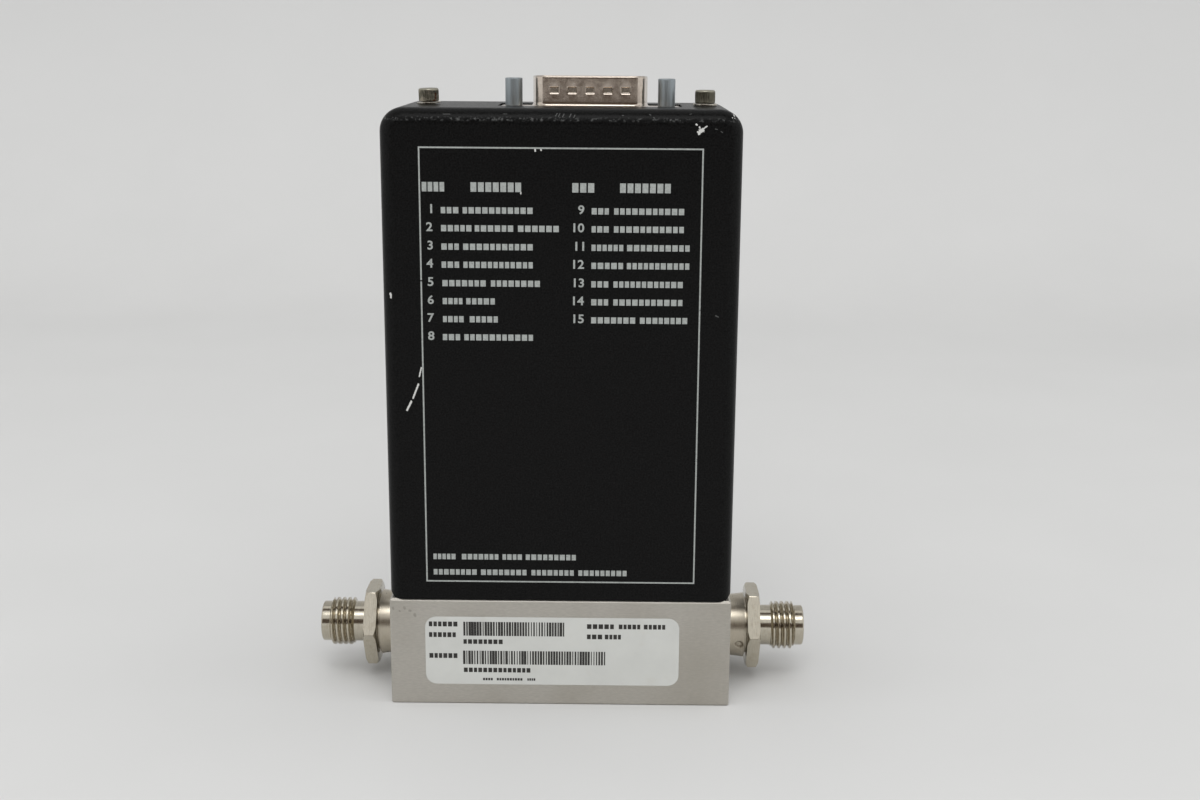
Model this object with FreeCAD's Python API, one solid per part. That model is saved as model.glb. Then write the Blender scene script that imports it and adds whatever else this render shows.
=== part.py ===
import FreeCAD, Part
import math
import os

# Mass flow meter for gases. A bored metal base carries a compression fitting at each end and a heated
# sensor tube on top. A folded chassis stands on the base and holds the circuit board, a fifteen-way plug
# and the drawn cover. Millimetres, +Z up, +X along the flow, -Y towards the printed front.
# The origin is the centre of the base's underside.

Vector = FreeCAD.Vector
X_AXIS = Vector(1, 0, 0)
Y_AXIS = Vector(0, 1, 0)
Z_AXIS = Vector(0, 0, 1)

# Base block and the bores inside it
base_length = 76.2
base_depth = 38.1
base_height = 25.0
base_top_edge = 0.5
base_edge = 0.3
flow_height = 12.2
main_bore_r = 4.0
port_bore_r = 6.45
port_depth = 12.0
port_lead_in = 0.4
sensor_port_r = 1.0
foot_hole_r = 1.75
foot_hole_depth = 6.0
foot_hole_spacing = 38.1

# Largest step between two places that count as the same
same_place = 1e-6

# Clearances
thread_gap = 0.05
seal_gap = 0.05
bore_gap = 0.05
pin_gap = 0.03
running_gap = 0.05
hole_gap = 0.2

# Compression fitting, from the base outwards
neck_root_r = 7.15
neck_r = 7.55
neck_length = 4.9
neck_groove_r = 6.5
neck_groove_width = 0.5
hexagon_flats = 17.46
hexagon_width = 2.9
hexagon_chamfer = 30.0
hexagon_face_r = 9.3
hexagon_turn = 3.4
relief_r = 4.68
relief_length = 2.9
thread_r = 5.55
thread_length = 5.7
thread_chamfer = 0.45
nose_r = 4.65
nose_length = 2.0
nose_edge = 0.3
tube_bore_r = 3.2
tube_stop_depth = 15.0
ferrule_seat_depth = 1.6
ferrule_seat_r = 3.95
passage_r = 2.4
seal_spigot_r = 4.9
neck_mark_r = 1.0
neck_mark_depth = 0.3
neck_mark_inset = 3.1
neck_mark_turn = 18.0

# Parts in the main bore
element_length = 18.0
element_cone_length = 4.0
element_slots = 12
element_slot_width = 0.6
element_slot_depth = 0.9
screen_thickness = 0.6
screen_gap = 3.0
screen_hole_r = 0.4
screen_ring_r = 2.5
screen_holes = 10

# Sensor on the base's top
sensor_leg_spacing = 24.0
sensor_seal_r = 2.35
sensor_seal_pocket_r = 3.1
sensor_seal_pocket_depth = 1.35
sensor_block_length = 44.0
sensor_block_depth = 14.0
sensor_block_height = 8.0
sensor_tube_r = 0.75
sensor_tube_bore_r = 0.5
sensor_tube_rise = 21.0
sensor_bend_r = 4.0
coil_r = 1.5
coil_length = 5.5
coil_spacing = 7.5
lead_r = 0.25
lead_reach = 4.0
can_length = 32.0
can_height = 27.0
can_wall = 1.0
can_corner_r = 2.0
can_flange = 0.8
can_slot_length = 17.0
can_slot_depth = 4.0

# Small machine screws, by their thread radius
block_screw_r = 1.25
block_screw_head_r = 2.2
block_screw_head_height = 2.5
block_screw_socket_flats = 2.0
block_screw_socket_depth = 1.2
block_screw_reach = 6.0
block_screw_end_inset = 3.0
block_screw_spacing_y = 9.0
foot_screw_r = 1.25
foot_screw_head_r = 2.3
foot_screw_head_height = 1.8
foot_screw_slot_width = 0.7
foot_screw_slot_depth = 0.9
foot_screw_reach = 5.5
foot_screw_spacing_y = 16.0
board_screw_r = 1.1
board_screw_head_r = 2.0
board_screw_head_height = 1.5

# Drawn cover
cover_height = 107.7
cover_wall = 1.5
cover_foot_trim = 1.2
cover_corner_r = 5.0
cover_edge_r = 3.3
cover_window_gap = 0.35
cover_window_corner_r = 1.2
access_hole_r = 1.9

# Cover screws, which stand a little off the middle, and their washers
cover_screw_spacing = 60.35
cover_screw_offset = 0.7
cover_screw_r = 1.42
cover_screw_length = 6.35
cover_screw_head_r = 2.2
cover_screw_head_height = 2.8
cover_screw_head_edge = 0.25
cover_screw_socket_flats = 2.38
cover_screw_socket_depth = 1.4
washer_r = 2.6
washer_thickness = 0.6

# Folded chassis
chassis_sheet = 1.5
chassis_depth = 28.0
chassis_side_gap = 2.1
chassis_bend_r = 2.0
chassis_foot_length = 8.0
chassis_tab_length = 8.0
chassis_tab_height = 8.0
chassis_plug_window_gap = 1.2

# Circuit board, standing between the plug's two rows of pins
board_thickness = 1.6
board_side_gap = 1.0
board_bottom = 38.0
board_notch_gap = 1.5
board_corner_notch_width = 7.0
board_corner_notch_height = 4.0
board_top_gap = 0.5
board_hole_inset = 3.5
board_low_hole = 48.0
board_high_hole = 115.0
spacer_r = 2.5
spacer_length = 4.0

# Parts on the board
chip_length = 19.3
chip_width = 6.35
chip_height = 3.3
chip_stand_off = 0.4
chip_draft = 0.35
chip_leg_pitch = 2.54
chip_leg_width = 0.5
chip_leg_reach = 0.9
chip_legs_per_side = 7
chip_column_x = 15.0
chip_rows = (110.0, 96.0, 82.0)
capacitor_r = 4.0
capacitor_height = 11.0
capacitor_edge = 0.6
capacitor_spacing = 11.0
capacitor_column_x = -20.0
capacitor_z = 74.0
resistor_length = 3.2
resistor_width = 1.6
resistor_height = 0.6
resistor_pitch = 5.0
resistor_count = 7
resistor_row_z = 88.0
trimmer_length = 19.05
trimmer_height = 6.35
trimmer_thickness = 4.8
trimmer_inset = 1.0
trimmer_drop = 12.0
zero_screw_r = 0.9
zero_screw_reach = 5.0
zero_screw_head_r = 1.15
zero_screw_head_length = 1.6
zero_screw_slot_width = 0.5
zero_screw_slot_depth = 0.6

# Fifteen-way plug, which stands off the middle towards the outlet
plug_offset = 5.8
plug_flange_length = 39.14
plug_flange_depth = 12.55
plug_flange_sheet = 0.4
plug_flange_corner_r = 1.2
plug_shell_width = 26.0
plug_shell_depth = 8.4
plug_shell_corner_r = 2.6
plug_shell_wall = 0.5
plug_shell_slope = 10.0
plug_shell_height = 6.85
plug_root_r = 0.45
plug_insulator_flange = 0.45
plug_insulator_rise = 1.85
plug_rear_depth = 3.3
plug_rear_inset = 0.6
plug_pin_r = 0.5
plug_pin_pitch = 2.77
plug_pin_row_spacing = 2.84
plug_pin_rear_count = 8
plug_pin_front_count = 7
plug_pin_top_inset = 0.9
plug_tail_reach = 4.0
plug_dimple_count = 5
plug_dimple_pitch = 3.85
plug_dimple_width = 2.0
plug_dimple_height = 1.5
plug_dimple_depth = 0.35
plug_dimple_slope = 0.3
plug_dimple_rise = 3.85

# Threaded posts beside the plug, with their nuts
post_end_inset = 2.91
post_r = 1.88
post_height = 6.0
post_edge = 0.3
post_shank_r = 1.42
post_hole_r = 1.13
post_hole_depth = 5.0
post_nut_flats = 4.76
post_nut_height = 1.9

# Label on the base's front
label_left = -30.25
label_length = 56.9
label_bottom = 4.8
label_height = 16.1
label_corner_r = 2.5
label_thickness = 0.12

# Heights and places that follow from the sizes above
block_screw_spacing_x = sensor_block_length - 2 * block_screw_end_inset
cover_top = base_height + cover_height
cover_ceiling = cover_top - cover_wall
chassis_top = cover_ceiling
chassis_half_length = base_length / 2 - cover_wall - chassis_side_gap
chassis_inner_x = chassis_half_length - chassis_sheet
chassis_underside = chassis_top - chassis_sheet
block_top = base_height + sensor_block_height
can_top = block_top + can_height
plug_insulator_bottom = chassis_top + plug_flange_sheet
plug_flange_bottom = plug_insulator_bottom + plug_insulator_flange
plug_flange_top = plug_flange_bottom + plug_flange_sheet
plug_shell_top = plug_flange_bottom + plug_shell_height
plug_rear_bottom = chassis_top - plug_rear_depth
board_top = plug_rear_bottom - board_top_gap
board_half_length = chassis_inner_x - board_side_gap
board_front = -board_thickness / 2
trimmer_y = board_front - trimmer_thickness / 2
trimmer_z = board_high_hole - trimmer_drop
trimmer_end_x = trimmer_inset - board_half_length
cover_screw_xs = (
    cover_screw_offset - cover_screw_spacing / 2,
    cover_screw_offset + cover_screw_spacing / 2,
)
post_spacing = plug_flange_length - 2 * post_end_inset
post_xs = (plug_offset - post_spacing / 2, plug_offset + post_spacing / 2)
coil_height = block_top + sensor_tube_rise


def box(x0, x1, y0, y1, z0, z1):
    """Box between two corners."""
    return Part.makeBox(x1 - x0, y1 - y0, z1 - z0, Vector(x0, y0, z0))


def rod_x(radius, x0, x1, y=0.0, z=flow_height):
    """Cylinder along X, on the flow axis unless told otherwise."""
    return Part.makeCylinder(radius, x1 - x0, Vector(x0, y, z), X_AXIS)


def rod_y(radius, y0, y1, x, z):
    """Cylinder along Y."""
    return Part.makeCylinder(radius, y1 - y0, Vector(x, y0, z), Y_AXIS)


def rod_z(radius, z0, z1, x=0.0, y=0.0):
    """Cylinder along Z."""
    return Part.makeCylinder(radius, z1 - z0, Vector(x, y, z0), Z_AXIS)


def prism_z(points, z0, z1):
    """Upright prism over a closed outline of (x, y) points."""
    outline = Part.makePolygon([Vector(x, y, z0) for x, y in points + points[:1]])
    return Part.Face(outline).extrude(Vector(0, 0, z1 - z0))


def hexagon_points(flats, turn=0.0):
    """Corners of a hexagon with the given width across flats."""
    corner_r = flats / math.sqrt(3)
    angles = [math.radians(60 * step + turn) for step in range(6)]
    return [(corner_r * math.cos(a), corner_r * math.sin(a)) for a in angles]


def upright_edges(shape):
    """Straight edges that run along Z."""
    return [
        e for e in shape.Edges
        if e.BoundBox.XLength < same_place and e.BoundBox.YLength < same_place
    ]


def edges_across(shape):
    """Straight edges that run along Y."""
    return [
        e for e in shape.Edges
        if e.BoundBox.XLength < same_place and e.BoundBox.ZLength < same_place
    ]


def rounded_plate(x0, x1, y0, y1, z0, z1, corner_r):
    """Flat plate with rounded corners."""
    plate = box(x0, x1, y0, y1, z0, z1)
    return plate.makeFillet(corner_r, upright_edges(plate))


def at_corners(spacing_x, spacing_y):
    """The four corners of a rectangle about the origin."""
    return [(sx * spacing_x / 2, sy * spacing_y / 2) for sx in (-1, 1) for sy in (-1, 1)]


def turned(stations):
    """Solid of revolution about the flow axis through (x, radius) stations that start and end on it."""
    points = [Vector(x, 0, flow_height + radius) for x, radius in stations]
    profile = Part.Face(Part.makePolygon(points + points[:1]))
    return profile.revolve(Vector(0, 0, flow_height), X_AXIS, 360)


def mirrored(shape):
    """The same shape at the inlet's end, turned half round about Z."""
    other = shape.copy()
    other.rotate(Vector(0, 0, 0), Z_AXIS, 180)
    return other


# Base and what lies in its bores

def foot_screw_places():
    """Where the chassis feet are screwed down."""
    middle_x = chassis_half_length - chassis_foot_length / 2 - chassis_sheet / 2
    return at_corners(2 * middle_x, foot_screw_spacing_y)


def base_block():
    half_length = base_length / 2
    half_depth = base_depth / 2
    block = box(-half_length, half_length, -half_depth, half_depth, 0, base_height)
    top_edges = [e for e in block.Edges if e.BoundBox.ZMin > base_height - same_place]
    block = block.makeChamfer(base_top_edge, top_edges)
    other_edges = upright_edges(block) + [e for e in block.Edges if e.BoundBox.ZMax < same_place]
    block = block.makeChamfer(base_edge, other_edges)
    cuts = [rod_x(main_bore_r, -half_length, half_length)]
    for side in (-1, 1):
        inner_x = half_length - port_depth
        port = turned([
            (inner_x, 0),
            (inner_x, port_bore_r),
            (half_length - port_lead_in, port_bore_r),
            (half_length, port_bore_r + port_lead_in),
            (half_length, 0),
        ])
        cuts.append(port if side > 0 else mirrored(port))
        leg_x = side * sensor_leg_spacing / 2
        cuts.append(rod_z(sensor_port_r, flow_height, base_height, leg_x))
        pocket_floor = base_height - sensor_seal_pocket_depth
        cuts.append(rod_z(sensor_seal_pocket_r, pocket_floor, base_height, leg_x))
        cuts.append(rod_z(foot_hole_r, 0, foot_hole_depth, side * foot_hole_spacing / 2))
    for x, y in at_corners(block_screw_spacing_x, block_screw_spacing_y):
        cuts.append(rod_z(block_screw_r + thread_gap, base_height - block_screw_reach, base_height, x, y))
    for x, y in foot_screw_places():
        cuts.append(rod_z(foot_screw_r + thread_gap, base_height - foot_screw_reach, base_height, x, y))
    return block.cut(cuts)


def outlet_fitting():
    neck_start = base_length / 2
    neck_end = neck_start + neck_length
    hexagon_end = neck_end + hexagon_width
    thread_start = hexagon_end + relief_length
    thread_end = thread_start + thread_length
    tip = thread_end + nose_length
    shank_end = neck_start - port_depth
    spigot_start = shank_end + port_bore_r - seal_spigot_r
    groove_start = neck_end - neck_groove_width
    shank_r = port_bore_r - thread_gap
    body = turned([
        (shank_end, 0),
        (shank_end, seal_spigot_r),
        (spigot_start, seal_spigot_r),
        (spigot_start, shank_r),
        (neck_start, shank_r),
        (neck_start, neck_root_r),
        (groove_start, neck_r),
        (groove_start, neck_groove_r),
        (neck_end, neck_groove_r),
        (neck_end, relief_r),
        (thread_start, relief_r),
        (thread_start + thread_chamfer, thread_r),
        (thread_end - thread_chamfer, thread_r),
        (thread_end, nose_r),
        (tip - nose_edge, nose_r),
        (tip, nose_r - nose_edge),
        (tip, 0),
    ])
    body = body.fuse(fitting_hexagon(neck_end, hexagon_end))
    stop = tip - tube_stop_depth
    bore = turned([
        (shank_end, 0),
        (shank_end, passage_r),
        (stop, passage_r),
        (stop, tube_bore_r),
        (tip - ferrule_seat_depth, tube_bore_r),
        (tip, ferrule_seat_r),
        (tip, 0),
    ])
    return body.cut(bore)


def fitting_hexagon(x0, x1):
    """Hexagon with both faces chamfered at its corners."""
    prism = prism_z(hexagon_points(hexagon_flats), 0, x1 - x0)
    prism.rotate(Vector(0, 0, 0), Y_AXIS, 90)
    prism.rotate(Vector(0, 0, 0), X_AXIS, 90 + hexagon_turn)
    prism.translate(Vector(x0, 0, flow_height))
    corner_r = hexagon_flats / math.sqrt(3)
    slope = (corner_r - hexagon_face_r) * math.tan(math.radians(hexagon_chamfer))
    envelope = turned([
        (x0, 0),
        (x0, hexagon_face_r),
        (x0 + slope, corner_r),
        (x1 - slope, corner_r),
        (x1, hexagon_face_r),
        (x1, 0),
    ])
    return prism.common(envelope)


def marked_outlet_fitting():
    """The outlet's fitting, with the small round dimple in the front of its neck."""
    mark_x = base_length / 2 + neck_mark_inset
    share = neck_mark_inset / (neck_length - neck_groove_width)
    surface_r = neck_root_r + (neck_r - neck_root_r) * share
    mark = Part.makeCylinder(neck_mark_r, neck_r, Vector(mark_x, 0, flow_height), Vector(0, -1, 0))
    mark.translate(Vector(0, neck_mark_depth - surface_r, 0))
    mark.rotate(Vector(mark_x, 0, flow_height), X_AXIS, neck_mark_turn)
    return outlet_fitting().cut(mark)


def seal_ring(mean_r, section, centre, axis):
    """Rubber ring of round section."""
    return Part.makeTorus(mean_r, section / 2, centre, axis)


def outlet_oring():
    """Ring round the fitting's spigot, against the bottom of the port."""
    space = port_bore_r - seal_spigot_r
    section = space - 2 * seal_gap
    centre_x = base_length / 2 - port_depth + space / 2
    return seal_ring(seal_spigot_r + space / 2, section, Vector(centre_x, 0, flow_height), X_AXIS)


def flow_element():
    """Splitter: a plug with a ring of straight passages cut in its rim."""
    half_length = element_length / 2
    radius = main_bore_r - bore_gap
    plug = turned([
        (-half_length, 0),
        (element_cone_length - half_length, radius),
        (half_length - element_cone_length, radius),
        (half_length, 0),
    ])
    slot_floor = radius - element_slot_depth
    slots = []
    for step in range(element_slots):
        slot = box(
            -half_length,
            half_length,
            -element_slot_width / 2,
            element_slot_width / 2,
            flow_height + slot_floor,
            flow_height + radius + bore_gap,
        )
        slot.rotate(Vector(0, 0, flow_height), X_AXIS, step * 360 / element_slots)
        slots.append(slot)
    return plug.cut(slots)


def inlet_screen():
    """Perforated disc upstream of the splitter."""
    x1 = -element_length / 2 - screen_gap
    x0 = x1 - screen_thickness
    disc = rod_x(main_bore_r - bore_gap, x0, x1)
    holes = [rod_x(screen_hole_r, x0, x1)]
    for step in range(screen_holes):
        angle = 2 * math.pi * step / screen_holes
        y = screen_ring_r * math.cos(angle)
        z = flow_height + screen_ring_r * math.sin(angle)
        holes.append(rod_x(screen_hole_r, x0, x1, y, z))
    return disc.cut(holes)


# Sensor

def sensor_seals():
    rings = []
    for side in (-1, 1):
        section = sensor_seal_pocket_depth - 2 * seal_gap
        centre = Vector(side * sensor_leg_spacing / 2, 0, base_height - sensor_seal_pocket_depth / 2)
        rings.append(seal_ring(sensor_seal_r, section, centre, Z_AXIS))
    return Part.Compound(rings)


def sensor_block():
    half_length = sensor_block_length / 2
    half_depth = sensor_block_depth / 2
    block = box(-half_length, half_length, -half_depth, half_depth, base_height, block_top)
    cuts = []
    for side in (-1, 1):
        leg_x = side * sensor_leg_spacing / 2
        cuts.append(rod_z(sensor_tube_r + bore_gap, base_height, block_top, leg_x))
    for x, y in at_corners(block_screw_spacing_x, block_screw_spacing_y):
        cuts.append(rod_z(block_screw_r + hole_gap, base_height, block_top, x, y))
    return block.cut(cuts)


def sensor_path(radius):
    """Solid that follows the tube's route: up one leg, across the top and down the other."""
    half = sensor_leg_spacing / 2
    bend = sensor_bend_r
    shoulder = coil_height - bend
    diagonal = bend * (1 - math.sqrt(0.5))
    left_mid = Vector(-half + diagonal, 0, coil_height - diagonal)
    right_mid = Vector(half - diagonal, 0, coil_height - diagonal)
    up_start = Vector(-half, 0, base_height)
    up_end = Vector(-half, 0, shoulder)
    across_start = Vector(-half + bend, 0, coil_height)
    across_end = Vector(half - bend, 0, coil_height)
    down_start = Vector(half, 0, shoulder)
    down_end = Vector(half, 0, base_height)
    route = Part.Wire([
        Part.LineSegment(up_start, up_end).toShape(),
        Part.Arc(up_end, left_mid, across_start).toShape(),
        Part.LineSegment(across_start, across_end).toShape(),
        Part.Arc(across_end, right_mid, down_start).toShape(),
        Part.LineSegment(down_start, down_end).toShape(),
    ])
    section = Part.Wire([Part.makeCircle(radius, up_start, Z_AXIS)])
    return route.makePipeShell([section], True, False)


def sensor_tube():
    return sensor_path(sensor_tube_r).cut(sensor_path(sensor_tube_bore_r))


def sensor_coil(middle_x):
    """One heated winding round the level stretch of the tube."""
    x0 = middle_x - coil_length / 2
    x1 = middle_x + coil_length / 2
    winding = rod_x(coil_r, x0, x1, 0, coil_height)
    return winding.cut(rod_x(sensor_tube_r + bore_gap, x0, x1, 0, coil_height))


def sensor_leads():
    """Two stiff leads from each winding up to the front of the board."""
    lead_y = board_front - lead_r - bore_gap
    inner_y = -lead_y - lead_r
    lead_bottom = coil_height + math.sqrt(coil_r ** 2 - inner_y ** 2) + bore_gap
    lead_top = can_top + board_notch_gap + lead_reach
    leads = []
    for middle_x in (-coil_spacing / 2, coil_spacing / 2):
        for side in (-1, 1):
            x = middle_x + side * (coil_length / 2 - lead_r)
            leads.append(rod_z(lead_r, lead_bottom, lead_top, x, lead_y))
    return Part.Compound(leads)


def sensor_can():
    """Drawn can over the tube, with a flange under the sensor block's screws."""
    half_length = can_length / 2
    half_depth = sensor_block_depth / 2
    block_half_length = sensor_block_length / 2
    flange_top = block_top + can_flange
    can_half_depth = half_depth - block_screw_head_r - block_screw_r
    outer = rounded_plate(
        -half_length, half_length, -can_half_depth, can_half_depth, block_top, can_top, can_corner_r
    )
    inner = rounded_plate(
        can_wall - half_length,
        half_length - can_wall,
        can_wall - can_half_depth,
        can_half_depth - can_wall,
        block_top,
        can_top - can_wall,
        can_corner_r - can_wall,
    )
    flange = box(-block_half_length, block_half_length, -half_depth, half_depth, block_top, flange_top)
    slot_half = can_slot_length / 2
    cuts = [inner, box(-slot_half, slot_half, -can_slot_depth / 2, can_slot_depth / 2, block_top, can_top)]
    for x, y in at_corners(block_screw_spacing_x, block_screw_spacing_y):
        cuts.append(rod_z(block_screw_r + hole_gap, block_top, flange_top, x, y))
    return outer.fuse(flange).cut(cuts)


def socket_screw(x, y, seat, tip, radius, head_r, head_height, edge, flats, socket_depth):
    """Cap screw with a hexagon socket, its head standing on the given seat."""
    head_top = seat + head_height
    head = rod_z(head_r, seat, head_top, x, y)
    rim = [e for e in head.Edges if e.BoundBox.ZMin > head_top - same_place]
    head = head.makeChamfer(edge, rim)
    socket = prism_z(hexagon_points(flats), head_top - socket_depth, head_top)
    socket.translate(Vector(x, y, 0))
    return head.fuse(rod_z(radius, tip, seat, x, y)).cut(socket)


def slotted_screw(radius, head_r, head_height, length, slot_width, slot_depth):
    """Cheese-head screw that points down, with the underside of its head at the origin."""
    screw = rod_z(head_r, 0, head_height).fuse(rod_z(radius, -length, 0))
    slot = box(-head_r, head_r, -slot_width / 2, slot_width / 2, head_height - slot_depth, head_height)
    return screw.cut(slot)


def sensor_screws():
    seat = block_top + can_flange
    tip = base_height - block_screw_reach
    return Part.Compound([
        socket_screw(
            x,
            y,
            seat,
            tip,
            block_screw_r,
            block_screw_head_r,
            block_screw_head_height,
            cover_screw_head_edge,
            block_screw_socket_flats,
            block_screw_socket_depth,
        )
        for x, y in at_corners(block_screw_spacing_x, block_screw_spacing_y)
    ])


# Chassis

def board_hole_places():
    """Centres of the board's four fixing holes, as (x, z)."""
    x = board_half_length - board_hole_inset
    return [(side * x, z) for side in (-1, 1) for z in (board_low_hole, board_high_hole)]


def folded_ring(half_length, bottom, top, corner_r):
    """Closed rounded frame outline as a solid across the chassis depth."""
    half_depth = chassis_depth / 2
    ring = box(-half_length, half_length, -half_depth, half_depth, bottom, top)
    return ring.makeFillet(corner_r, edges_across(ring))


def chassis_bracket():
    """One folded sheet: two feet, two legs with tabs for the board, and a top that carries the plug."""
    half_depth = chassis_depth / 2
    outer = folded_ring(chassis_half_length, base_height, chassis_top, chassis_bend_r)
    inner = folded_ring(
        chassis_inner_x,
        base_height + chassis_sheet,
        chassis_underside,
        chassis_bend_r - chassis_sheet,
    )
    foot_end = chassis_half_length - chassis_foot_length
    foot_top = base_height + chassis_sheet
    gap = box(-foot_end, foot_end, -half_depth, half_depth, base_height, foot_top)
    sheet = outer.cut([inner, gap])
    tab_front = board_thickness / 2 + spacer_length
    tab_rear = tab_front + chassis_sheet
    tab_end = chassis_inner_x - chassis_tab_length
    cuts = []
    for x, z in board_hole_places():
        side = math.copysign(1, x)
        xs = sorted((side * tab_end, side * chassis_inner_x))
        leg_xs = sorted((side * chassis_inner_x, side * chassis_half_length))
        z0 = z - chassis_tab_height / 2
        z1 = z + chassis_tab_height / 2
        sheet = sheet.fuse(box(xs[0], xs[1], tab_front, tab_rear, z0, z1))
        cuts.append(box(leg_xs[0], leg_xs[1], tab_rear, half_depth, z0, z1))
        cuts.append(rod_y(board_screw_r + thread_gap, tab_front, tab_rear, x, z))
    for x, y in foot_screw_places():
        cuts.append(rod_z(foot_screw_r + hole_gap, base_height, foot_top, x, y))
    for x in cover_screw_xs:
        cuts.append(rod_z(cover_screw_r + thread_gap, chassis_underside, chassis_top, x))
    for x in post_xs:
        cuts.append(rod_z(post_shank_r + hole_gap, chassis_underside, chassis_top, x))
    window_half_x = plug_shell_width / 2 + chassis_plug_window_gap
    window_half_y = plug_shell_depth / 2 + chassis_plug_window_gap
    cuts.append(box(
        plug_offset - window_half_x,
        plug_offset + window_half_x,
        -window_half_y,
        window_half_y,
        chassis_underside,
        chassis_top,
    ))
    cuts.append(rod_x(access_hole_r, -chassis_half_length, -chassis_inner_x, trimmer_y, trimmer_z))
    return sheet.cut(cuts)


def bracket_screws():
    screws = []
    for x, y in foot_screw_places():
        screw = slotted_screw(
            foot_screw_r,
            foot_screw_head_r,
            foot_screw_head_height,
            foot_screw_reach + chassis_sheet,
            foot_screw_slot_width,
            foot_screw_slot_depth,
        )
        screw.translate(Vector(x, y, base_height + chassis_sheet))
        screws.append(screw)
    return Part.Compound(screws)


# Circuit board and what is on it

def circuit_board():
    """Board with a notch over the sensor can and clear corners under the cover screws."""
    half = board_thickness / 2
    board = box(-board_half_length, board_half_length, -half, half, board_bottom, board_top)
    notch_x = can_length / 2 + board_notch_gap
    notch_top = can_top + board_notch_gap
    cuts = [box(-notch_x, notch_x, -half, half, board_bottom, notch_top)]
    for side in (-1, 1):
        xs = sorted((side * board_half_length, side * (board_half_length - board_corner_notch_width)))
        cuts.append(box(xs[0], xs[1], -half, half, board_top - board_corner_notch_height, board_top))
    for x, z in board_hole_places():
        cuts.append(rod_y(board_screw_r + hole_gap, -half, half, x, z))
    return board.cut(cuts)


def board_spacers():
    near = board_thickness / 2
    far = near + spacer_length
    return Part.Compound([
        rod_y(spacer_r, near, far, x, z).cut(rod_y(board_screw_r + hole_gap, near, far, x, z))
        for x, z in board_hole_places()
    ])


def board_screws():
    length = board_thickness + spacer_length + chassis_sheet
    screws = []
    for x, z in board_hole_places():
        screw = slotted_screw(
            board_screw_r,
            board_screw_head_r,
            board_screw_head_height,
            length,
            foot_screw_slot_width,
            foot_screw_slot_depth,
        )
        screw.rotate(Vector(0, 0, 0), X_AXIS, 90)
        screw.translate(Vector(x, board_front, z))
        screws.append(screw)
    return Part.Compound(screws)


def chip(middle_x, middle_z):
    """Dual in-line package: drafted body and two rows of legs."""
    half_length = chip_length / 2
    half_width = chip_width / 2
    near_y = board_front - chip_stand_off
    middle_y = near_y - chip_height / 2
    far_y = near_y - chip_height

    def outline(y, inset):
        corners = [(-1, -1), (1, -1), (1, 1), (-1, 1)]
        points = [
            Vector(middle_x + sx * (half_length - inset), y, middle_z + sz * (half_width - inset))
            for sx, sz in corners
        ]
        return Part.makePolygon(points + points[:1])

    outlines = [outline(near_y, chip_draft), outline(middle_y, 0), outline(far_y, chip_draft)]
    body = Part.makeLoft(outlines, True, True)
    legs = []
    first_x = middle_x - chip_leg_pitch * (chip_legs_per_side - 1) / 2
    for step in range(chip_legs_per_side):
        x = first_x + step * chip_leg_pitch
        reach = half_width + chip_leg_reach
        legs.append(box(
            x - chip_leg_width / 2,
            x + chip_leg_width / 2,
            middle_y,
            board_front,
            middle_z - reach,
            middle_z - half_width + chip_draft,
        ))
        legs.append(box(
            x - chip_leg_width / 2,
            x + chip_leg_width / 2,
            middle_y,
            board_front,
            middle_z + half_width - chip_draft,
            middle_z + reach,
        ))
    return body.fuse(legs).removeSplitter()


def logic_chips():
    return Part.Compound([chip(chip_column_x, z) for z in chip_rows])


def power_capacitors():
    cans = []
    for step in range(2):
        x = capacitor_column_x + step * capacitor_spacing
        far_y = board_front - capacitor_height
        can = rod_y(capacitor_r, far_y, board_front, x, capacitor_z)
        rim = [e for e in can.Edges if e.BoundBox.YMax < far_y + same_place]
        cans.append(can.makeFillet(capacitor_edge, rim))
    return Part.Compound(cans)


def chip_resistors():
    first_x = -resistor_pitch * resistor_count
    parts = []
    for step in range(resistor_count):
        x = first_x + step * resistor_pitch + resistor_pitch
        parts.append(box(
            x - resistor_width / 2,
            x + resistor_width / 2,
            board_front - resistor_height,
            board_front,
            resistor_row_z - resistor_length / 2,
            resistor_row_z + resistor_length / 2,
        ))
    return Part.Compound(parts)


def zero_trimmer():
    """Case of the multi-turn trimmer, its screw facing the inlet side."""
    case = box(
        trimmer_end_x,
        trimmer_end_x + trimmer_length,
        board_front - trimmer_thickness,
        board_front,
        trimmer_z - trimmer_height / 2,
        trimmer_z + trimmer_height / 2,
    )
    seat_end = trimmer_end_x + zero_screw_reach + running_gap
    return case.cut(rod_x(zero_screw_r + running_gap, trimmer_end_x, seat_end, trimmer_y, trimmer_z))


def zero_screw():
    """Slotted screw that a screwdriver reaches through the cover's access hole."""
    head_end = trimmer_end_x - running_gap
    head_start = head_end - zero_screw_head_length
    head = rod_x(zero_screw_head_r, head_start, head_end, trimmer_y, trimmer_z)
    shank = rod_x(zero_screw_r, head_end, trimmer_end_x + zero_screw_reach, trimmer_y, trimmer_z)
    slot = box(
        head_start,
        head_start + zero_screw_slot_depth,
        trimmer_y - zero_screw_slot_width / 2,
        trimmer_y + zero_screw_slot_width / 2,
        trimmer_z - zero_screw_head_r,
        trimmer_z + zero_screw_head_r,
    )
    return head.fuse(shank).cut(slot)


# Plug

def d_prism(inset, z0, z1):
    """D-shaped prism of the plug's shell outline, moved inwards by the given inset."""
    slope = math.radians(plug_shell_slope)
    half_depth = plug_shell_depth / 2 - inset
    rear_half = plug_shell_width / 2 - inset * (math.tan(slope) + 1 / math.cos(slope))
    front_half = rear_half - 2 * half_depth * math.tan(slope)
    points = [
        (plug_offset - front_half, -half_depth),
        (plug_offset + front_half, -half_depth),
        (plug_offset + rear_half, half_depth),
        (plug_offset - rear_half, half_depth),
    ]
    prism = prism_z(points, z0, z1)
    return prism.makeFillet(plug_shell_corner_r - inset, upright_edges(prism))


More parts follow.
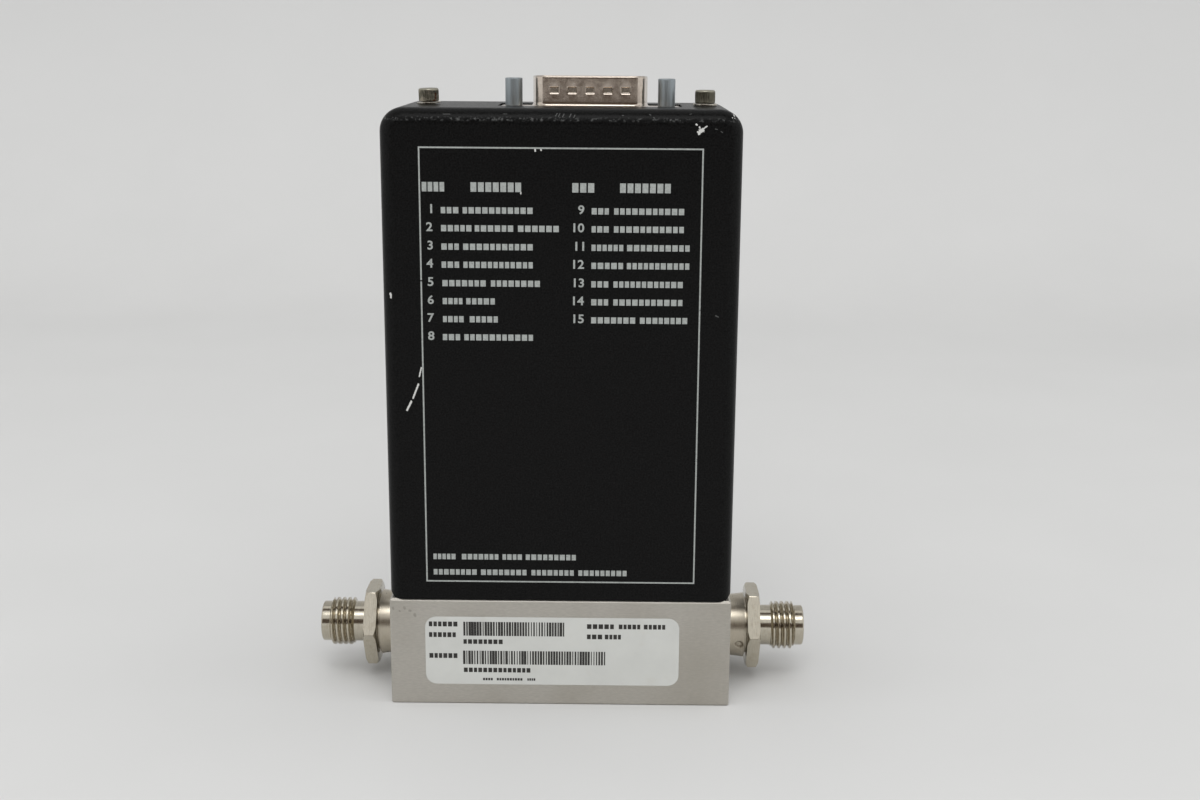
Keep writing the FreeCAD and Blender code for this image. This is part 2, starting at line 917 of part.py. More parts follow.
def plug_plate(z0, z1, hole_r):
    """Flange outline of the plug with its two post holes."""
    half_length = plug_flange_length / 2
    half_depth = plug_flange_depth / 2
    plate = rounded_plate(
        plug_offset - half_length,
        plug_offset + half_length,
        -half_depth,
        half_depth,
        z0,
        z1,
        plug_flange_corner_r,
    )
    return plate.cut([rod_z(hole_r, z0, z1, x) for x in post_xs])


def dimple(middle_x, side, depth_from, depth_to):
    """Tapered rectangular dent in a long wall of the shell, as a solid between two depths."""
    wall_y = side * plug_shell_depth / 2
    middle_z = plug_flange_bottom + plug_dimple_rise

    def outline(depth, shrink):
        half_width = plug_dimple_width / 2 - shrink
        half_height = plug_dimple_height / 2 - shrink
        y = wall_y - side * depth
        corners = [(-1, -1), (1, -1), (1, 1), (-1, 1)]
        points = [Vector(middle_x + sx * half_width, y, middle_z + sz * half_height) for sx, sz in corners]
        return Part.makePolygon(points + points[:1])

    return Part.makeLoft([outline(depth_from, 0), outline(depth_to, plug_dimple_slope)], True, True)


def connector_front_shell():
    """Plated front shell: flange, D-shaped skirt and a row of pressed dimples in each long wall."""
    plate = plug_plate(plug_flange_bottom, plug_flange_top, post_shank_r + hole_gap)
    skirt = d_prism(0, plug_flange_bottom, plug_shell_top)
    shell = plate.fuse(skirt)
    root = [
        e for e in shell.Edges
        if abs(e.BoundBox.ZMin - plug_flange_top) < same_place
        and abs(e.BoundBox.ZMax - plug_flange_top) < same_place
        and abs(e.CenterOfMass.x - plug_offset) < plug_shell_width / 2 + same_place
        and abs(e.CenterOfMass.y) < plug_shell_depth / 2 + same_place
    ]
    shell = shell.makeFillet(plug_root_r, root)
    shell = shell.cut(d_prism(plug_shell_wall, plug_flange_bottom, plug_shell_top))
    first_x = plug_offset - plug_dimple_pitch * (plug_dimple_count - 1) / 2
    for step in range(plug_dimple_count):
        x = first_x + step * plug_dimple_pitch
        for side in (-1, 1):
            bump = dimple(x, side, plug_shell_wall, plug_shell_wall + plug_dimple_depth)
            shell = shell.fuse(bump).cut(dimple(x, side, 0, plug_dimple_depth))
    return shell


def pin_places():
    """Pin centres: the longer row to the rear, the shorter one to the front."""
    places = []
    for count, side in ((plug_pin_rear_count, 1), (plug_pin_front_count, -1)):
        first_x = plug_offset - plug_pin_pitch * (count - 1) / 2
        for step in range(count):
            places.append((first_x + step * plug_pin_pitch, side * plug_pin_row_spacing / 2))
    return places


def connector_insulator():
    """Moulding that holds the pins: a flange, a front boss in the shell and a rear body."""
    flange = plug_plate(plug_insulator_bottom, plug_flange_bottom, post_shank_r + hole_gap)
    boss_top = plug_flange_bottom + plug_insulator_rise
    boss = d_prism(plug_shell_wall + seal_gap, plug_flange_bottom, boss_top)
    rear = d_prism(plug_rear_inset + plug_shell_wall + seal_gap, plug_rear_bottom, plug_insulator_bottom)
    holes = [rod_z(plug_pin_r + pin_gap, plug_rear_bottom, boss_top, x, y) for x, y in pin_places()]
    return flange.fuse([boss, rear]).cut(holes)


def connector_rear_shell():
    """Rear shell: a flange on the chassis and a skirt through its window."""
    plate = plug_plate(chassis_top, plug_insulator_bottom, post_shank_r + hole_gap)
    skirt = d_prism(plug_rear_inset, plug_rear_bottom, chassis_top)
    hollow = d_prism(plug_rear_inset + plug_shell_wall, plug_rear_bottom, plug_insulator_bottom)
    return plate.fuse(skirt).cut(hollow)


def connector_pins():
    """Fifteen round pins with rounded tips, their tails on both faces of the board."""
    top = plug_shell_top - plug_pin_top_inset
    bottom = board_top - plug_tail_reach
    pins = []
    for x, y in pin_places():
        pin = rod_z(plug_pin_r, bottom, top - plug_pin_r, x, y)
        tip = Part.makeSphere(plug_pin_r, Vector(x, y, top - plug_pin_r), Z_AXIS, 0, 90, 360)
        pins.append(pin.fuse(tip))
    return Part.Compound(pins)


def jack_posts():
    """Threaded posts that clamp the plug and take the mating plug's screws."""
    posts = []
    post_top = plug_flange_top + post_height
    shank_end = chassis_underside - post_nut_height
    for x in post_xs:
        head = rod_z(post_r, plug_flange_top, post_top, x)
        rim = [e for e in head.Edges if e.BoundBox.ZMin > post_top - same_place]
        head = head.makeChamfer(post_edge, rim)
        post = head.fuse(rod_z(post_shank_r, shank_end, plug_flange_top, x))
        posts.append(post.cut(rod_z(post_hole_r, post_top - post_hole_depth, post_top, x)))
    return Part.Compound(posts)


def jack_post_nuts():
    nuts = []
    bottom = chassis_underside - post_nut_height
    for x in post_xs:
        nut = prism_z(hexagon_points(post_nut_flats), bottom, chassis_underside)
        nut.translate(Vector(x, 0, 0))
        nuts.append(nut.cut(rod_z(post_shank_r + thread_gap, bottom, chassis_underside, x)))
    return Part.Compound(nuts)


# Cover and label

def housing(length, depth, top, corner_r, edge_r):
    """Arch with rounded top corners, its front and rear rims rounded all the way up and over."""
    half = length / 2
    y = -depth / 2
    diagonal = corner_r * (1 - math.sqrt(0.5))
    shoulder = top - corner_r
    left_foot = Vector(-half, y, base_height)
    left_shoulder = Vector(-half, y, shoulder)
    left_top = Vector(corner_r - half, y, top)
    right_top = Vector(half - corner_r, y, top)
    right_shoulder = Vector(half, y, shoulder)
    right_foot = Vector(half, y, base_height)
    left_mid = Vector(diagonal - half, y, top - diagonal)
    right_mid = Vector(half - diagonal, y, top - diagonal)
    outline = Part.Wire([
        Part.LineSegment(left_foot, left_shoulder).toShape(),
        Part.Arc(left_shoulder, left_mid, left_top).toShape(),
        Part.LineSegment(left_top, right_top).toShape(),
        Part.Arc(right_top, right_mid, right_shoulder).toShape(),
        Part.LineSegment(right_shoulder, right_foot).toShape(),
        Part.LineSegment(right_foot, left_foot).toShape(),
    ])
    arch = Part.Face(outline).extrude(Vector(0, depth, 0))
    rims = [
        e for e in arch.Edges
        if e.BoundBox.YLength < same_place and e.BoundBox.ZMax > base_height + same_place
    ]
    return arch.makeFillet(edge_r, rims)


def foot_corner(side):
    """Wedge that trims the cover's foot at one end."""
    wall_x = side * base_length / 2
    corner = Part.makePolygon([
        Vector(wall_x, -base_depth / 2, base_height),
        Vector(wall_x - side * cover_foot_trim, -base_depth / 2, base_height),
        Vector(wall_x, -base_depth / 2, base_height + cover_foot_trim),
        Vector(wall_x, -base_depth / 2, base_height),
    ])
    return Part.Face(corner).extrude(Vector(0, base_depth, 0))


def cover():
    """Drawn cover, open underneath, with the plug's window, two screw holes and the access hole."""
    outer = housing(base_length, base_depth, cover_top, cover_corner_r, cover_edge_r)
    inner = housing(
        base_length - 2 * cover_wall,
        base_depth - 2 * cover_wall,
        cover_ceiling,
        cover_corner_r - cover_wall,
        cover_edge_r - cover_wall,
    )
    window_half_x = plug_flange_length / 2 + cover_window_gap
    window_half_y = plug_flange_depth / 2 + cover_window_gap
    window = rounded_plate(
        plug_offset - window_half_x,
        plug_offset + window_half_x,
        -window_half_y,
        window_half_y,
        cover_ceiling,
        cover_top,
        cover_window_corner_r,
    )
    cuts = [inner, window, foot_corner(-1), foot_corner(1)]
    for x in cover_screw_xs:
        cuts.append(rod_z(cover_screw_r + hole_gap, cover_ceiling, cover_top, x))
    inlet_wall = -base_length / 2
    cuts.append(rod_x(access_hole_r, inlet_wall, inlet_wall + cover_wall, trimmer_y, trimmer_z))
    return outer.cut(cuts)


def cover_washers():
    washers = []
    for x in cover_screw_xs:
        ring = rod_z(washer_r, cover_top, cover_top + washer_thickness, x)
        hole = rod_z(cover_screw_r + hole_gap, cover_top, cover_top + washer_thickness, x)
        washers.append(ring.cut(hole))
    return Part.Compound(washers)


def cover_screws():
    seat = cover_top + washer_thickness
    return Part.Compound([
        socket_screw(
            x,
            0,
            seat,
            seat - cover_screw_length,
            cover_screw_r,
            cover_screw_head_r,
            cover_screw_head_height,
            cover_screw_head_edge,
            cover_screw_socket_flats,
            cover_screw_socket_depth,
        )
        for x in cover_screw_xs
    ])


def id_label():
    """Thin plastic label with rounded corners on the base's front."""
    front = -base_depth / 2
    label = box(
        label_left,
        label_left + label_length,
        front - label_thickness,
        front,
        label_bottom,
        label_bottom + label_height,
    )
    return label.makeFillet(label_corner_r, edges_across(label))


def main():
    coil_x = coil_spacing / 2
    pieces = {
        "base_block": base_block(),
        "inlet_fitting": mirrored(outlet_fitting()),
        "outlet_fitting": marked_outlet_fitting(),
        "inlet_oring": mirrored(outlet_oring()),
        "outlet_oring": outlet_oring(),
        "inlet_screen": inlet_screen(),
        "flow_element": flow_element(),
        "sensor_seals": sensor_seals(),
        "sensor_block": sensor_block(),
        "sensor_tube": sensor_tube(),
        "upstream_coil": sensor_coil(-coil_x),
        "downstream_coil": sensor_coil(coil_x),
        "sensor_leads": sensor_leads(),
        "sensor_can": sensor_can(),
        "sensor_screws": sensor_screws(),
        "chassis_bracket": chassis_bracket(),
        "bracket_screws": bracket_screws(),
        "circuit_board": circuit_board(),
        "board_spacers": board_spacers(),
        "board_screws": board_screws(),
        "logic_chips": logic_chips(),
        "power_capacitors": power_capacitors(),
        "chip_resistors": chip_resistors(),
        "zero_trimmer": zero_trimmer(),
        "zero_screw": zero_screw(),
        "connector_front_shell": connector_front_shell(),
        "connector_insulator": connector_insulator(),
        "connector_rear_shell": connector_rear_shell(),
        "connector_pins": connector_pins(),
        "jack_posts": jack_posts(),
        "jack_post_nuts": jack_post_nuts(),
        "cover": cover(),
        "cover_washers": cover_washers(),
        "cover_screws": cover_screws(),
        "id_label": id_label(),
    }
    os.makedirs("parts", exist_ok=True)
    for name, shape in pieces.items():
        shape.exportStep(f"parts/{name}.step")
        solids = len(shape.Solids)
        print(f"{name}: {solids} solids, {shape.Volume:.1f} mm3, valid {shape.isValid()}")


main()
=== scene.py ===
import math
import random

import bmesh
import bpy
from bpy.props import FloatProperty, FloatVectorProperty, IntProperty, PointerProperty
from mathutils import Matrix, Vector


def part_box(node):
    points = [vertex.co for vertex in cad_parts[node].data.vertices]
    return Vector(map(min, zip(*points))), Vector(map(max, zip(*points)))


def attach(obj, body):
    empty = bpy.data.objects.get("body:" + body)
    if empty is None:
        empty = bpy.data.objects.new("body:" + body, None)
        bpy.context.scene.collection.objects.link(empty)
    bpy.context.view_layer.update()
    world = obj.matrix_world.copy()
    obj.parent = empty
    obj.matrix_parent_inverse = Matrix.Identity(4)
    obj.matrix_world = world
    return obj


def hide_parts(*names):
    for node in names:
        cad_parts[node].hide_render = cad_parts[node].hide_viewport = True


bl_info = {
    "name": "Gas Flow Meter",
    "version": (1, 0, 0),
    "blender": (4, 5, 0),
    "location": "3D View > Sidebar > Flow Meter",
    "description": "Threads, plug shell, print, finishes and studio for the gas flow meter",
    "category": "Object",
}

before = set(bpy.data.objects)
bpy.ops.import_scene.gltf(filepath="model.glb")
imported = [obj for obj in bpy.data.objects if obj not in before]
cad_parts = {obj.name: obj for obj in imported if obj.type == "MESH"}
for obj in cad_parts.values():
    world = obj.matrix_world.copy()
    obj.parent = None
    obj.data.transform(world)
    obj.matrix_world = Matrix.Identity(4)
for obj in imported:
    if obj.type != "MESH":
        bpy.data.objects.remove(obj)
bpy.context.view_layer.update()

# Lengths in this file are millimetres unless a property's unit says otherwise
MM = 0.001
METER = "meter"
AXIS_HEIGHT = 12.2
BASE_HALF = 38.1
FRONT = -19.05
COVER_TOP = 132.7
RIM_R = 3.3
CORNER_R = 5.0


def linear(code):
    """Linear colour of an sRGB hex code."""
    channels = [int(code[i:i + 2], 16) / 255 for i in (0, 2, 4)]
    return tuple(c / 12.92 if c <= 0.04045 else ((c + 0.055) / 1.055) ** 2.4 for c in channels)


def shade(colour, share):
    """Linear colour made lighter or darker."""
    return [min(c * share, 1.0) for c in colour]


def colour_property(label, text, code):
    return FloatVectorProperty(
        name=label, description=text, subtype="COLOR", size=3, min=0.0, max=1.0, default=linear(code)
    )


def length_property(label, text, millimetres):
    return FloatProperty(
        name=label, description=text, default=millimetres * MM, min=0.0, unit="LENGTH", precision=5
    )


def power_property(label, text, watts):
    return FloatProperty(name=label, description=text, default=watts, unit="POWER")


def angle_property(label, text, degrees):
    return FloatProperty(name=label, description=text, default=math.radians(degrees), unit="ROTATION")


class MeterSizes(bpy.types.PropertyGroup):
    thread_pitch: length_property("Fitting thread pitch", "Distance between crests on the tube fittings", 1.27)
    thread_depth: length_property("Fitting thread depth", "Height of the crests on the tube fittings", 0.7)
    post_pitch: length_property("Post thread pitch", "Distance between crests inside the plug's posts", 0.635)
    post_depth: length_property("Post thread depth", "Height of the crests inside the plug's posts", 0.3)
    knurl_depth: length_property("Knurl depth", "Depth of the flutes on the cover screws' heads", 0.09)
    knurl_count: IntProperty(name="Knurl count", description="Flutes round a cover screw's head", default=32, min=8)
    dimple_depth: length_property("Dimple depth", "Depth of the pressed dents in the plug's shell", 0.3)
    ink_thickness: length_property("Ink thickness", "How far the print stands off the cover and label", 0.025)
    line_width: length_property("Frame line width", "Width of the printed frame's lines", 0.32)
    cap_height: length_property("Row height", "Height of the numbers and marks in the pin table", 1.9)
    bar_pitch: length_property("Bar pitch", "Distance between bars in the label's bar fields", 0.6)
    bar_seed: IntProperty(name="Bar seed", description="Seed of the bars' widths", default=11)


class MeterColours(bpy.types.PropertyGroup):
    paint: colour_property("Cover paint", "Black textured enamel", "080808")
    bare: colour_property("Chipped paint", "Pale metal under the paint", "c4c4c1")
    ink: colour_property("Cover ink", "Grey-white screen print", "a3a7a4")
    label: colour_property("Label film", "Off-white label film", "c5c6c2")
    label_ink: colour_property("Label ink", "Black thermal print", "1c1a17")
    base: colour_property("Base steel", "Milled and blasted stainless steel", "c8c4bc")
    fitting: colour_property("Fitting steel", "Turned stainless steel", "cac3b3")
    plating: colour_property("Plug plating", "Bright tin over steel", "d6cabd")
    post: colour_property("Post plating", "Blue zinc over steel", "a6aeb2")
    screw: colour_property("Cover screw", "Aged yellow zinc over steel", "6a675b")
    rust: colour_property("Rust", "Brown rust on the cover screws", "5a3524")


class MeterStudio(bpy.types.PropertyGroup):
    floor: colour_property("Floor", "Pale floor", "d0d0cf")
    backdrop: colour_property("Backdrop", "Pale backdrop", "bcbcbc")
    world: colour_property("Room", "Light from the room", "ececec")
    card: colour_property("Card", "Brown card behind the camera, for the metal to show", "5d4f45")
    key_power: power_property("Key lamp", "Power of the front lamp", 1.9)
    fill_power: power_property("Fill lamp", "Power of the wide front lamp", 5.4)
    top_power: power_property("Top lamp", "Power of the lamp overhead", 5.0)
    focal_length: FloatProperty(name="Focal length", description="Lens in millimetres", default=45.9156)
    pitch: angle_property("Camera pitch", "Downward tilt", 13.2735)
    yaw: angle_property("Camera yaw", "Turn to the inlet", 0.3548)
    roll: angle_property("Camera roll", "Roll about the view", 0.42)
    eye: FloatVectorProperty(
        name="Camera place",
        description="Where the camera stands",
        subtype="TRANSLATION",
        size=3,
        default=(10.52 * MM, -340.6427 * MM, 146.7807 * MM),
    )


# Node trees

def add(tree, kind, inputs=None, **settings):
    """Add a node with its settings, and give each input a value or link it to another node's output."""
    node = tree.nodes.new(kind)
    for key, value in settings.items():
        setattr(node, key, value)
    for key, value in (inputs or {}).items():
        if isinstance(value, bpy.types.NodeSocket):
            tree.links.new(value, node.inputs[key])
        else:
            node.inputs[key].default_value = value
    return node


def new_geometry_tree(name, sockets):
    """Geometry tree with named inputs, and its input and output nodes."""
    tree = bpy.data.node_groups.new(name, "GeometryNodeTree")
    tree.interface.new_socket("Geometry", in_out="INPUT", socket_type="NodeSocketGeometry")
    for label, kind in sockets:
        tree.interface.new_socket(label, in_out="INPUT", socket_type=kind)
    tree.interface.new_socket("Geometry", in_out="OUTPUT", socket_type="NodeSocketGeometry")
    return tree, tree.nodes.new("NodeGroupInput"), tree.nodes.new("NodeGroupOutput")


def close_tree(tree, given, result, geometry):
    """Realize instances and set the material at the end of a tree."""
    real = add(tree, "GeometryNodeRealizeInstances", {"Geometry": geometry})
    made = add(tree, "GeometryNodeSetMaterial", {
        "Geometry": real.outputs[0],
        "Material": given.outputs["Material"],
    })
    tree.links.new(made.outputs[0], result.inputs[0])


def thread_tree():
    """Cuts a sixty degree thread into the marked points of a mesh that is turned about Z."""
    tree, given, result = new_geometry_tree("screw_thread", [
        ("Pitch", "NodeSocketFloat"),
        ("Depth", "NodeSocketFloat"),
        ("Crest Radius", "NodeSocketFloat"),
        ("Side", "NodeSocketFloat"),
        ("Material", "NodeSocketMaterial"),
    ])
    root_width = 0.04
    crest_width = 0.15
    side = given.outputs["Side"]
    position = tree.nodes.new("GeometryNodeInputPosition").outputs[0]
    x, y, z = add(tree, "ShaderNodeSeparateXYZ", {0: position}).outputs
    # Place in the pitch, from 0 at the middle of a crest to 0.5 at a root
    angle = add(tree, "ShaderNodeMath", {0: y, 1: x}, operation="ARCTAN2").outputs[0]
    turn = add(tree, "ShaderNodeMath", {0: angle, 1: 2 * math.pi}, operation="DIVIDE").outputs[0]
    along = add(tree, "ShaderNodeMath", {0: z, 1: given.outputs["Pitch"]}, operation="DIVIDE").outputs[0]
    run = add(tree, "ShaderNodeMath", {0: along, 1: turn}, operation="SUBTRACT").outputs[0]
    phase = add(tree, "ShaderNodeMath", {0: run}, operation="FRACT").outputs[0]
    offset = add(tree, "ShaderNodeMath", {0: phase, 1: 0.5}, operation="SUBTRACT").outputs[0]
    from_middle = add(tree, "ShaderNodeMath", {0: offset}, operation="ABSOLUTE").outputs[0]
    fall = add(tree, "ShaderNodeMapRange", {
        "Value": from_middle,
        "From Min": 0.5 - root_width,
        "From Max": crest_width,
        "To Min": -1.0,
        "To Max": 0.0,
    }).outputs[0]
    # Reach of the thread there, held inside the blank; the side is 1 outside and -1 in a bore
    crest = add(tree, "ShaderNodeMath", {0: given.outputs["Crest Radius"], 1: side}, operation="MULTIPLY").outputs[0]
    reach = add(
        tree, "ShaderNodeMath", {0: fall, 1: given.outputs["Depth"], 2: crest}, operation="MULTIPLY_ADD"
    ).outputs[0]
    level = add(tree, "ShaderNodeVectorMath", {0: position, 1: (1.0, 1.0, 0.0)}, operation="MULTIPLY").outputs[0]
    radius = add(tree, "ShaderNodeVectorMath", {0: level}, operation="LENGTH").outputs["Value"]
    blank = add(tree, "ShaderNodeMath", {0: radius, 1: side}, operation="MULTIPLY").outputs[0]
    limited = add(tree, "ShaderNodeMath", {0: reach, 1: blank}, operation="MINIMUM").outputs[0]
    grown = add(tree, "ShaderNodeMath", {0: limited, 1: blank}, operation="DIVIDE").outputs[0]
    stretch = add(tree, "ShaderNodeCombineXYZ", {0: grown, 1: grown, 2: 1.0}).outputs[0]
    stretched = add(tree, "ShaderNodeVectorMath", {0: position, 1: stretch}, operation="MULTIPLY").outputs[0]
    marked = add(tree, "GeometryNodeInputNamedAttribute", {"Name": "thread"}, data_type="FLOAT").outputs[0]
    chosen = add(tree, "FunctionNodeCompare", {0: marked, 1: 0.5}, data_type="FLOAT", operation="GREATER_THAN")
    moved = add(tree, "GeometryNodeSetPosition", {
        "Geometry": given.outputs["Geometry"],
        "Selection": chosen.outputs[0],
        "Position": stretched,
    })
    close_tree(tree, given, result, moved.outputs[0])
    return tree


def set_out_tree():
    """Sets shapes of a collection out on points, by the points' kind, turn and size."""
    tree, given, result = new_geometry_tree("set_out", [
        ("Shapes", "NodeSocketCollection"),
        ("Material", "NodeSocketMaterial"),
    ])
    shapes = add(
        tree,
        "GeometryNodeCollectionInfo",
        {"Collection": given.outputs["Shapes"], "Separate Children": True, "Reset Children": True},
    )
    kind = add(tree, "GeometryNodeInputNamedAttribute", {"Name": "kind"}, data_type="INT")
    turn = add(tree, "GeometryNodeInputNamedAttribute", {"Name": "turn"}, data_type="FLOAT_VECTOR")
    size = add(tree, "GeometryNodeInputNamedAttribute", {"Name": "size"}, data_type="FLOAT_VECTOR")
    points = add(tree, "GeometryNodeMeshToPoints", {"Mesh": given.outputs["Geometry"]})
    spread = add(tree, "GeometryNodeInstanceOnPoints", {
        "Points": points.outputs[0],
        "Instance": shapes.outputs[0],
        "Pick Instance": True,
        "Instance Index": kind.outputs[0],
        "Rotation": turn.outputs[0],
        "Scale": size.outputs[0],
    })
    close_tree(tree, given, result, spread.outputs[0])
    return tree


def bar_field_tree():
    """Row of upright bars of seeded widths from a given start point."""
    tree, given, result = new_geometry_tree("bar_field", [
        ("Count", "NodeSocketInt"),
        ("Pitch", "NodeSocketFloat"),
        ("Height", "NodeSocketFloat"),
        ("Thickness", "NodeSocketFloat"),
        ("Seed", "NodeSocketInt"),
        ("Start", "NodeSocketVector"),
        ("Material", "NodeSocketMaterial"),
    ])
    step = add(tree, "ShaderNodeCombineXYZ", {0: given.outputs["Pitch"]})
    row = add(tree, "GeometryNodeMeshLine", {
        "Count": given.outputs["Count"],
        "Start Location": given.outputs["Start"],
        "Offset": step.outputs[0],
    })
    share = add(tree, "FunctionNodeRandomValue", {2: 0.3, 3: 1.05, "Seed": given.outputs["Seed"]}, data_type="FLOAT")
    width = add(tree, "ShaderNodeMath", {0: share.outputs[1], 1: given.outputs["Pitch"]}, operation="MULTIPLY")
    size = add(tree, "ShaderNodeCombineXYZ", {
        0: width.outputs[0],
        1: given.outputs["Thickness"],
        2: given.outputs["Height"],
    })
    bar = add(tree, "GeometryNodeMeshCube", {"Size": (1.0, 1.0, 1.0)})
    spread = add(tree, "GeometryNodeInstanceOnPoints", {
        "Points": row.outputs[0],
        "Instance": bar.outputs[0],
        "Scale": size.outputs[0],
    })
    close_tree(tree, given, result, spread.outputs[0])
    return tree


def new_object(name, mesh):
    piece = bpy.data.objects.new(name, mesh)
    bpy.context.scene.collection.objects.link(piece)
    return piece


def evaluated(piece):
    """Plain mesh of an object with its tree or its curve worked out."""
    depsgraph = bpy.context.evaluated_depsgraph_get()
    return bpy.data.meshes.new_from_object(
        piece.evaluated_get(depsgraph), preserve_all_data_layers=True, depsgraph=depsgraph
    )


def run_tree(mesh, tree, values):
    """Plain mesh that a tree makes of a mesh and its named inputs."""
    holder = new_object("holder", mesh)
    modifier = holder.modifiers.new("tree", "NODES")
    modifier.node_group = tree
    for item in tree.interface.items_tree:
        if item.in_out == "INPUT" and item.name in values:
            modifier[item.identifier] = values[item.name]
    made = evaluated(holder)
    holder.modifiers.remove(modifier)
    bpy.data.objects.remove(holder)
    return made


def set_out(shapes, material, places, kinds=None, turns=None, sizes=None):
    """Plain mesh of shapes set out on places in millimetres, each with a kind, a turn and a size."""
    count = len(places)
    kept = bpy.data.collections.new("shapes")
    for index, mesh in enumerate(shapes):
        kept.objects.link(bpy.data.objects.new(f"shape_{index}", mesh))
    points = bpy.data.meshes.new("points")
    points.from_pydata([tuple(c * MM for c in place) for place in places], [], [])
    points.attributes.new("kind", "INT", "POINT").data.foreach_set("value", kinds or [0] * count)
    turns = turns or [(0.0, 0.0, 0.0)] * count
    sizes = sizes or [(1.0, 1.0, 1.0)] * count
    for name, rows in (("turn", turns), ("size", sizes)):
        values = [value for row in rows for value in row]
        points.attributes.new(name, "FLOAT_VECTOR", "POINT").data.foreach_set("vector", values)
    return run_tree(points, set_out_tree(), {"Shapes": kept, "Material": material})


# Mesh work

def band_faces(rings, segments, closed=True):
    """Faces between each ring of points and the next, and from the last to the first if closed."""
    faces = []
    for ring in range(rings if closed else rings - 1):
        below = ring * segments
        above = (ring + 1) % rings * segments
        for step in range(segments):
            following = (step + 1) % segments
            faces.append((below + step, below + following, above + following, above + step))
    return faces


def turned(rings, segments, start=0.0, shapes=None, closed=True):
    """Mesh turned about Z from (height, radius, kind) rings; an open row of rings is closed by two poles."""
    shapes = shapes or {}
    vertices = []
    marks = []
    for height, radius, kind in rings:
        for step in range(segments):
            angle = start + 2 * math.pi * step / segments
            reach = shapes[kind](height, radius, angle) if kind in shapes else radius
            vertices.append((reach * math.cos(angle) * MM, reach * math.sin(angle) * MM, height * MM))
            marks.append(1.0 if kind == "thread" else 0.0)
    faces = band_faces(len(rings), segments, closed)
    if not closed:
        for ring, order in ((0, -1), (len(rings) - 1, 1)):
            pole = len(vertices)
            vertices.append((0.0, 0.0, rings[ring][0] * MM))
            marks.append(0.0)
            for step in range(segments):
                edge = (ring * segments + step, ring * segments + (step + 1) % segments)
                faces.append((*edge[::order], pole))
    mesh = bpy.data.meshes.new("turned")
    mesh.from_pydata(vertices, [], faces)
    mesh.attributes.new("thread", "FLOAT", "POINT").data.foreach_set("value", marks)
    return mesh


def soften(mesh, degrees=35.0):
    """Smooth shading that breaks at sharp edges."""
    mesh.shade_smooth()
    mesh.set_sharp_from_angle(angle=math.radians(degrees))


def evenly(first, last, count):
    """Heights from first to last, both ends in."""
    return [first + (last - first) * step / (count - 1) for step in range(count)]


def rounds(*places):
    """Plain rings at (height, radius) places."""
    return [(height, radius, "round") for height, radius in places]


def arc(centre_height, centre_radius, radius, first, last, count):
    """Plain rings round a quarter or less of an arc, with the angles in degrees from the outward radius."""
    return rounds(*(
        (centre_height + radius * math.sin(angle), centre_radius + radius * math.cos(angle))
        for angle in evenly(math.radians(first), math.radians(last), count)
    ))


def hexagon_radius(flats):
    """Reach of a hexagon with a corner at angle zero."""
    def reach(height, radius, angle):
        flat = (angle % math.radians(60)) - math.radians(30)
        return flats / 2 / math.cos(flat)
    return reach


def plate(outlines, low, high, edge=0.0):
    """Closed flat mesh between two heights, from outlines of which the later ones are holes."""
    curve = bpy.data.curves.new("plate", "CURVE")
    curve.dimensions = "2D"
    curve.fill_mode = "BOTH"
    curve.extrude = ((high - low) / 2 - edge) * MM
    curve.bevel_depth = edge * MM
    curve.bevel_resolution = 1
    curve.offset = -edge * MM
    for outline in outlines:
        spline = curve.splines.new("POLY")
        spline.points.add(len(outline) - 1)
        for point, (x, y) in zip(spline.points, outline):
            point.co = (x * MM, y * MM, 0.0, 1.0)
        spline.use_cyclic_u = True
    holder = new_object("plate", curve)
    mesh = evaluated(holder)
    bpy.data.objects.remove(holder)
    mesh.transform(Matrix.Translation((0.0, 0.0, (low + high) / 2 * MM)))
    closed_up(mesh)
    return mesh


def closed_up(mesh):
    """Merge doubles and turn the faces outwards."""
    work = bmesh.new()
    work.from_mesh(mesh)
    bmesh.ops.remove_doubles(work, verts=work.verts, dist=1e-7)
    bmesh.ops.recalc_face_normals(work, faces=work.faces)
    work.to_mesh(mesh)
    work.free()


def break_edges(mesh, low, high, inner, width):
    """Break the sharp edges of a turned blank between two heights and outside a radius."""
    work = bmesh.new()
    work.from_mesh(mesh)
    chosen = []
    for line in work.edges:
        middle = (line.verts[0].co + line.verts[1].co) / 2 / MM
        if low - 0.01 <= middle.z <= high + 0.01 and middle.xy.length > inner:
            if line.calc_face_angle(0.0) > math.radians(25.0):
                chosen.append(line)
    bmesh.ops.bevel(
        work,
        geom=chosen,
        offset=width * MM,
        offset_type="WIDTH",
        segments=2,
        profile=0.6,
        affect="EDGES",
        clamp_overlap=True,
    )
    work.to_mesh(mesh)
    work.free()


def joined(meshes):
    """One mesh of several."""
    work = bmesh.new()
    for mesh in meshes:
        work.from_mesh(mesh)
    made = bpy.data.meshes.new("joined")
    work.to_mesh(made)
    work.free()
    return made


def circle(x, y, radius, count=48):
    steps = [2 * math.pi * step / count for step in range(count)]
    return [(x + radius * math.cos(a), y + radius * math.sin(a)) for a in steps]


def rounded_outline(corners, radius, steps=10):
    """Outline through corner points, counterclockwise, with each corner rounded."""
    outline = []
    for index, corner in enumerate(corners):
        here = Vector(corner)
        back = (Vector(corners[index - 1]) - here).normalized()
        ahead = (Vector(corners[(index + 1) % len(corners)]) - here).normalized()
        half = back.angle(ahead) / 2
        centre = here + (back + ahead).normalized() * radius / math.sin(half)
        first = here + back * radius / math.tan(half) - centre
        sweep = math.pi - 2 * half
        for step in range(steps + 1):
            turn = sweep * step / steps
            outline.append(tuple(centre + Matrix.Rotation(turn, 2) @ first))
    return outline


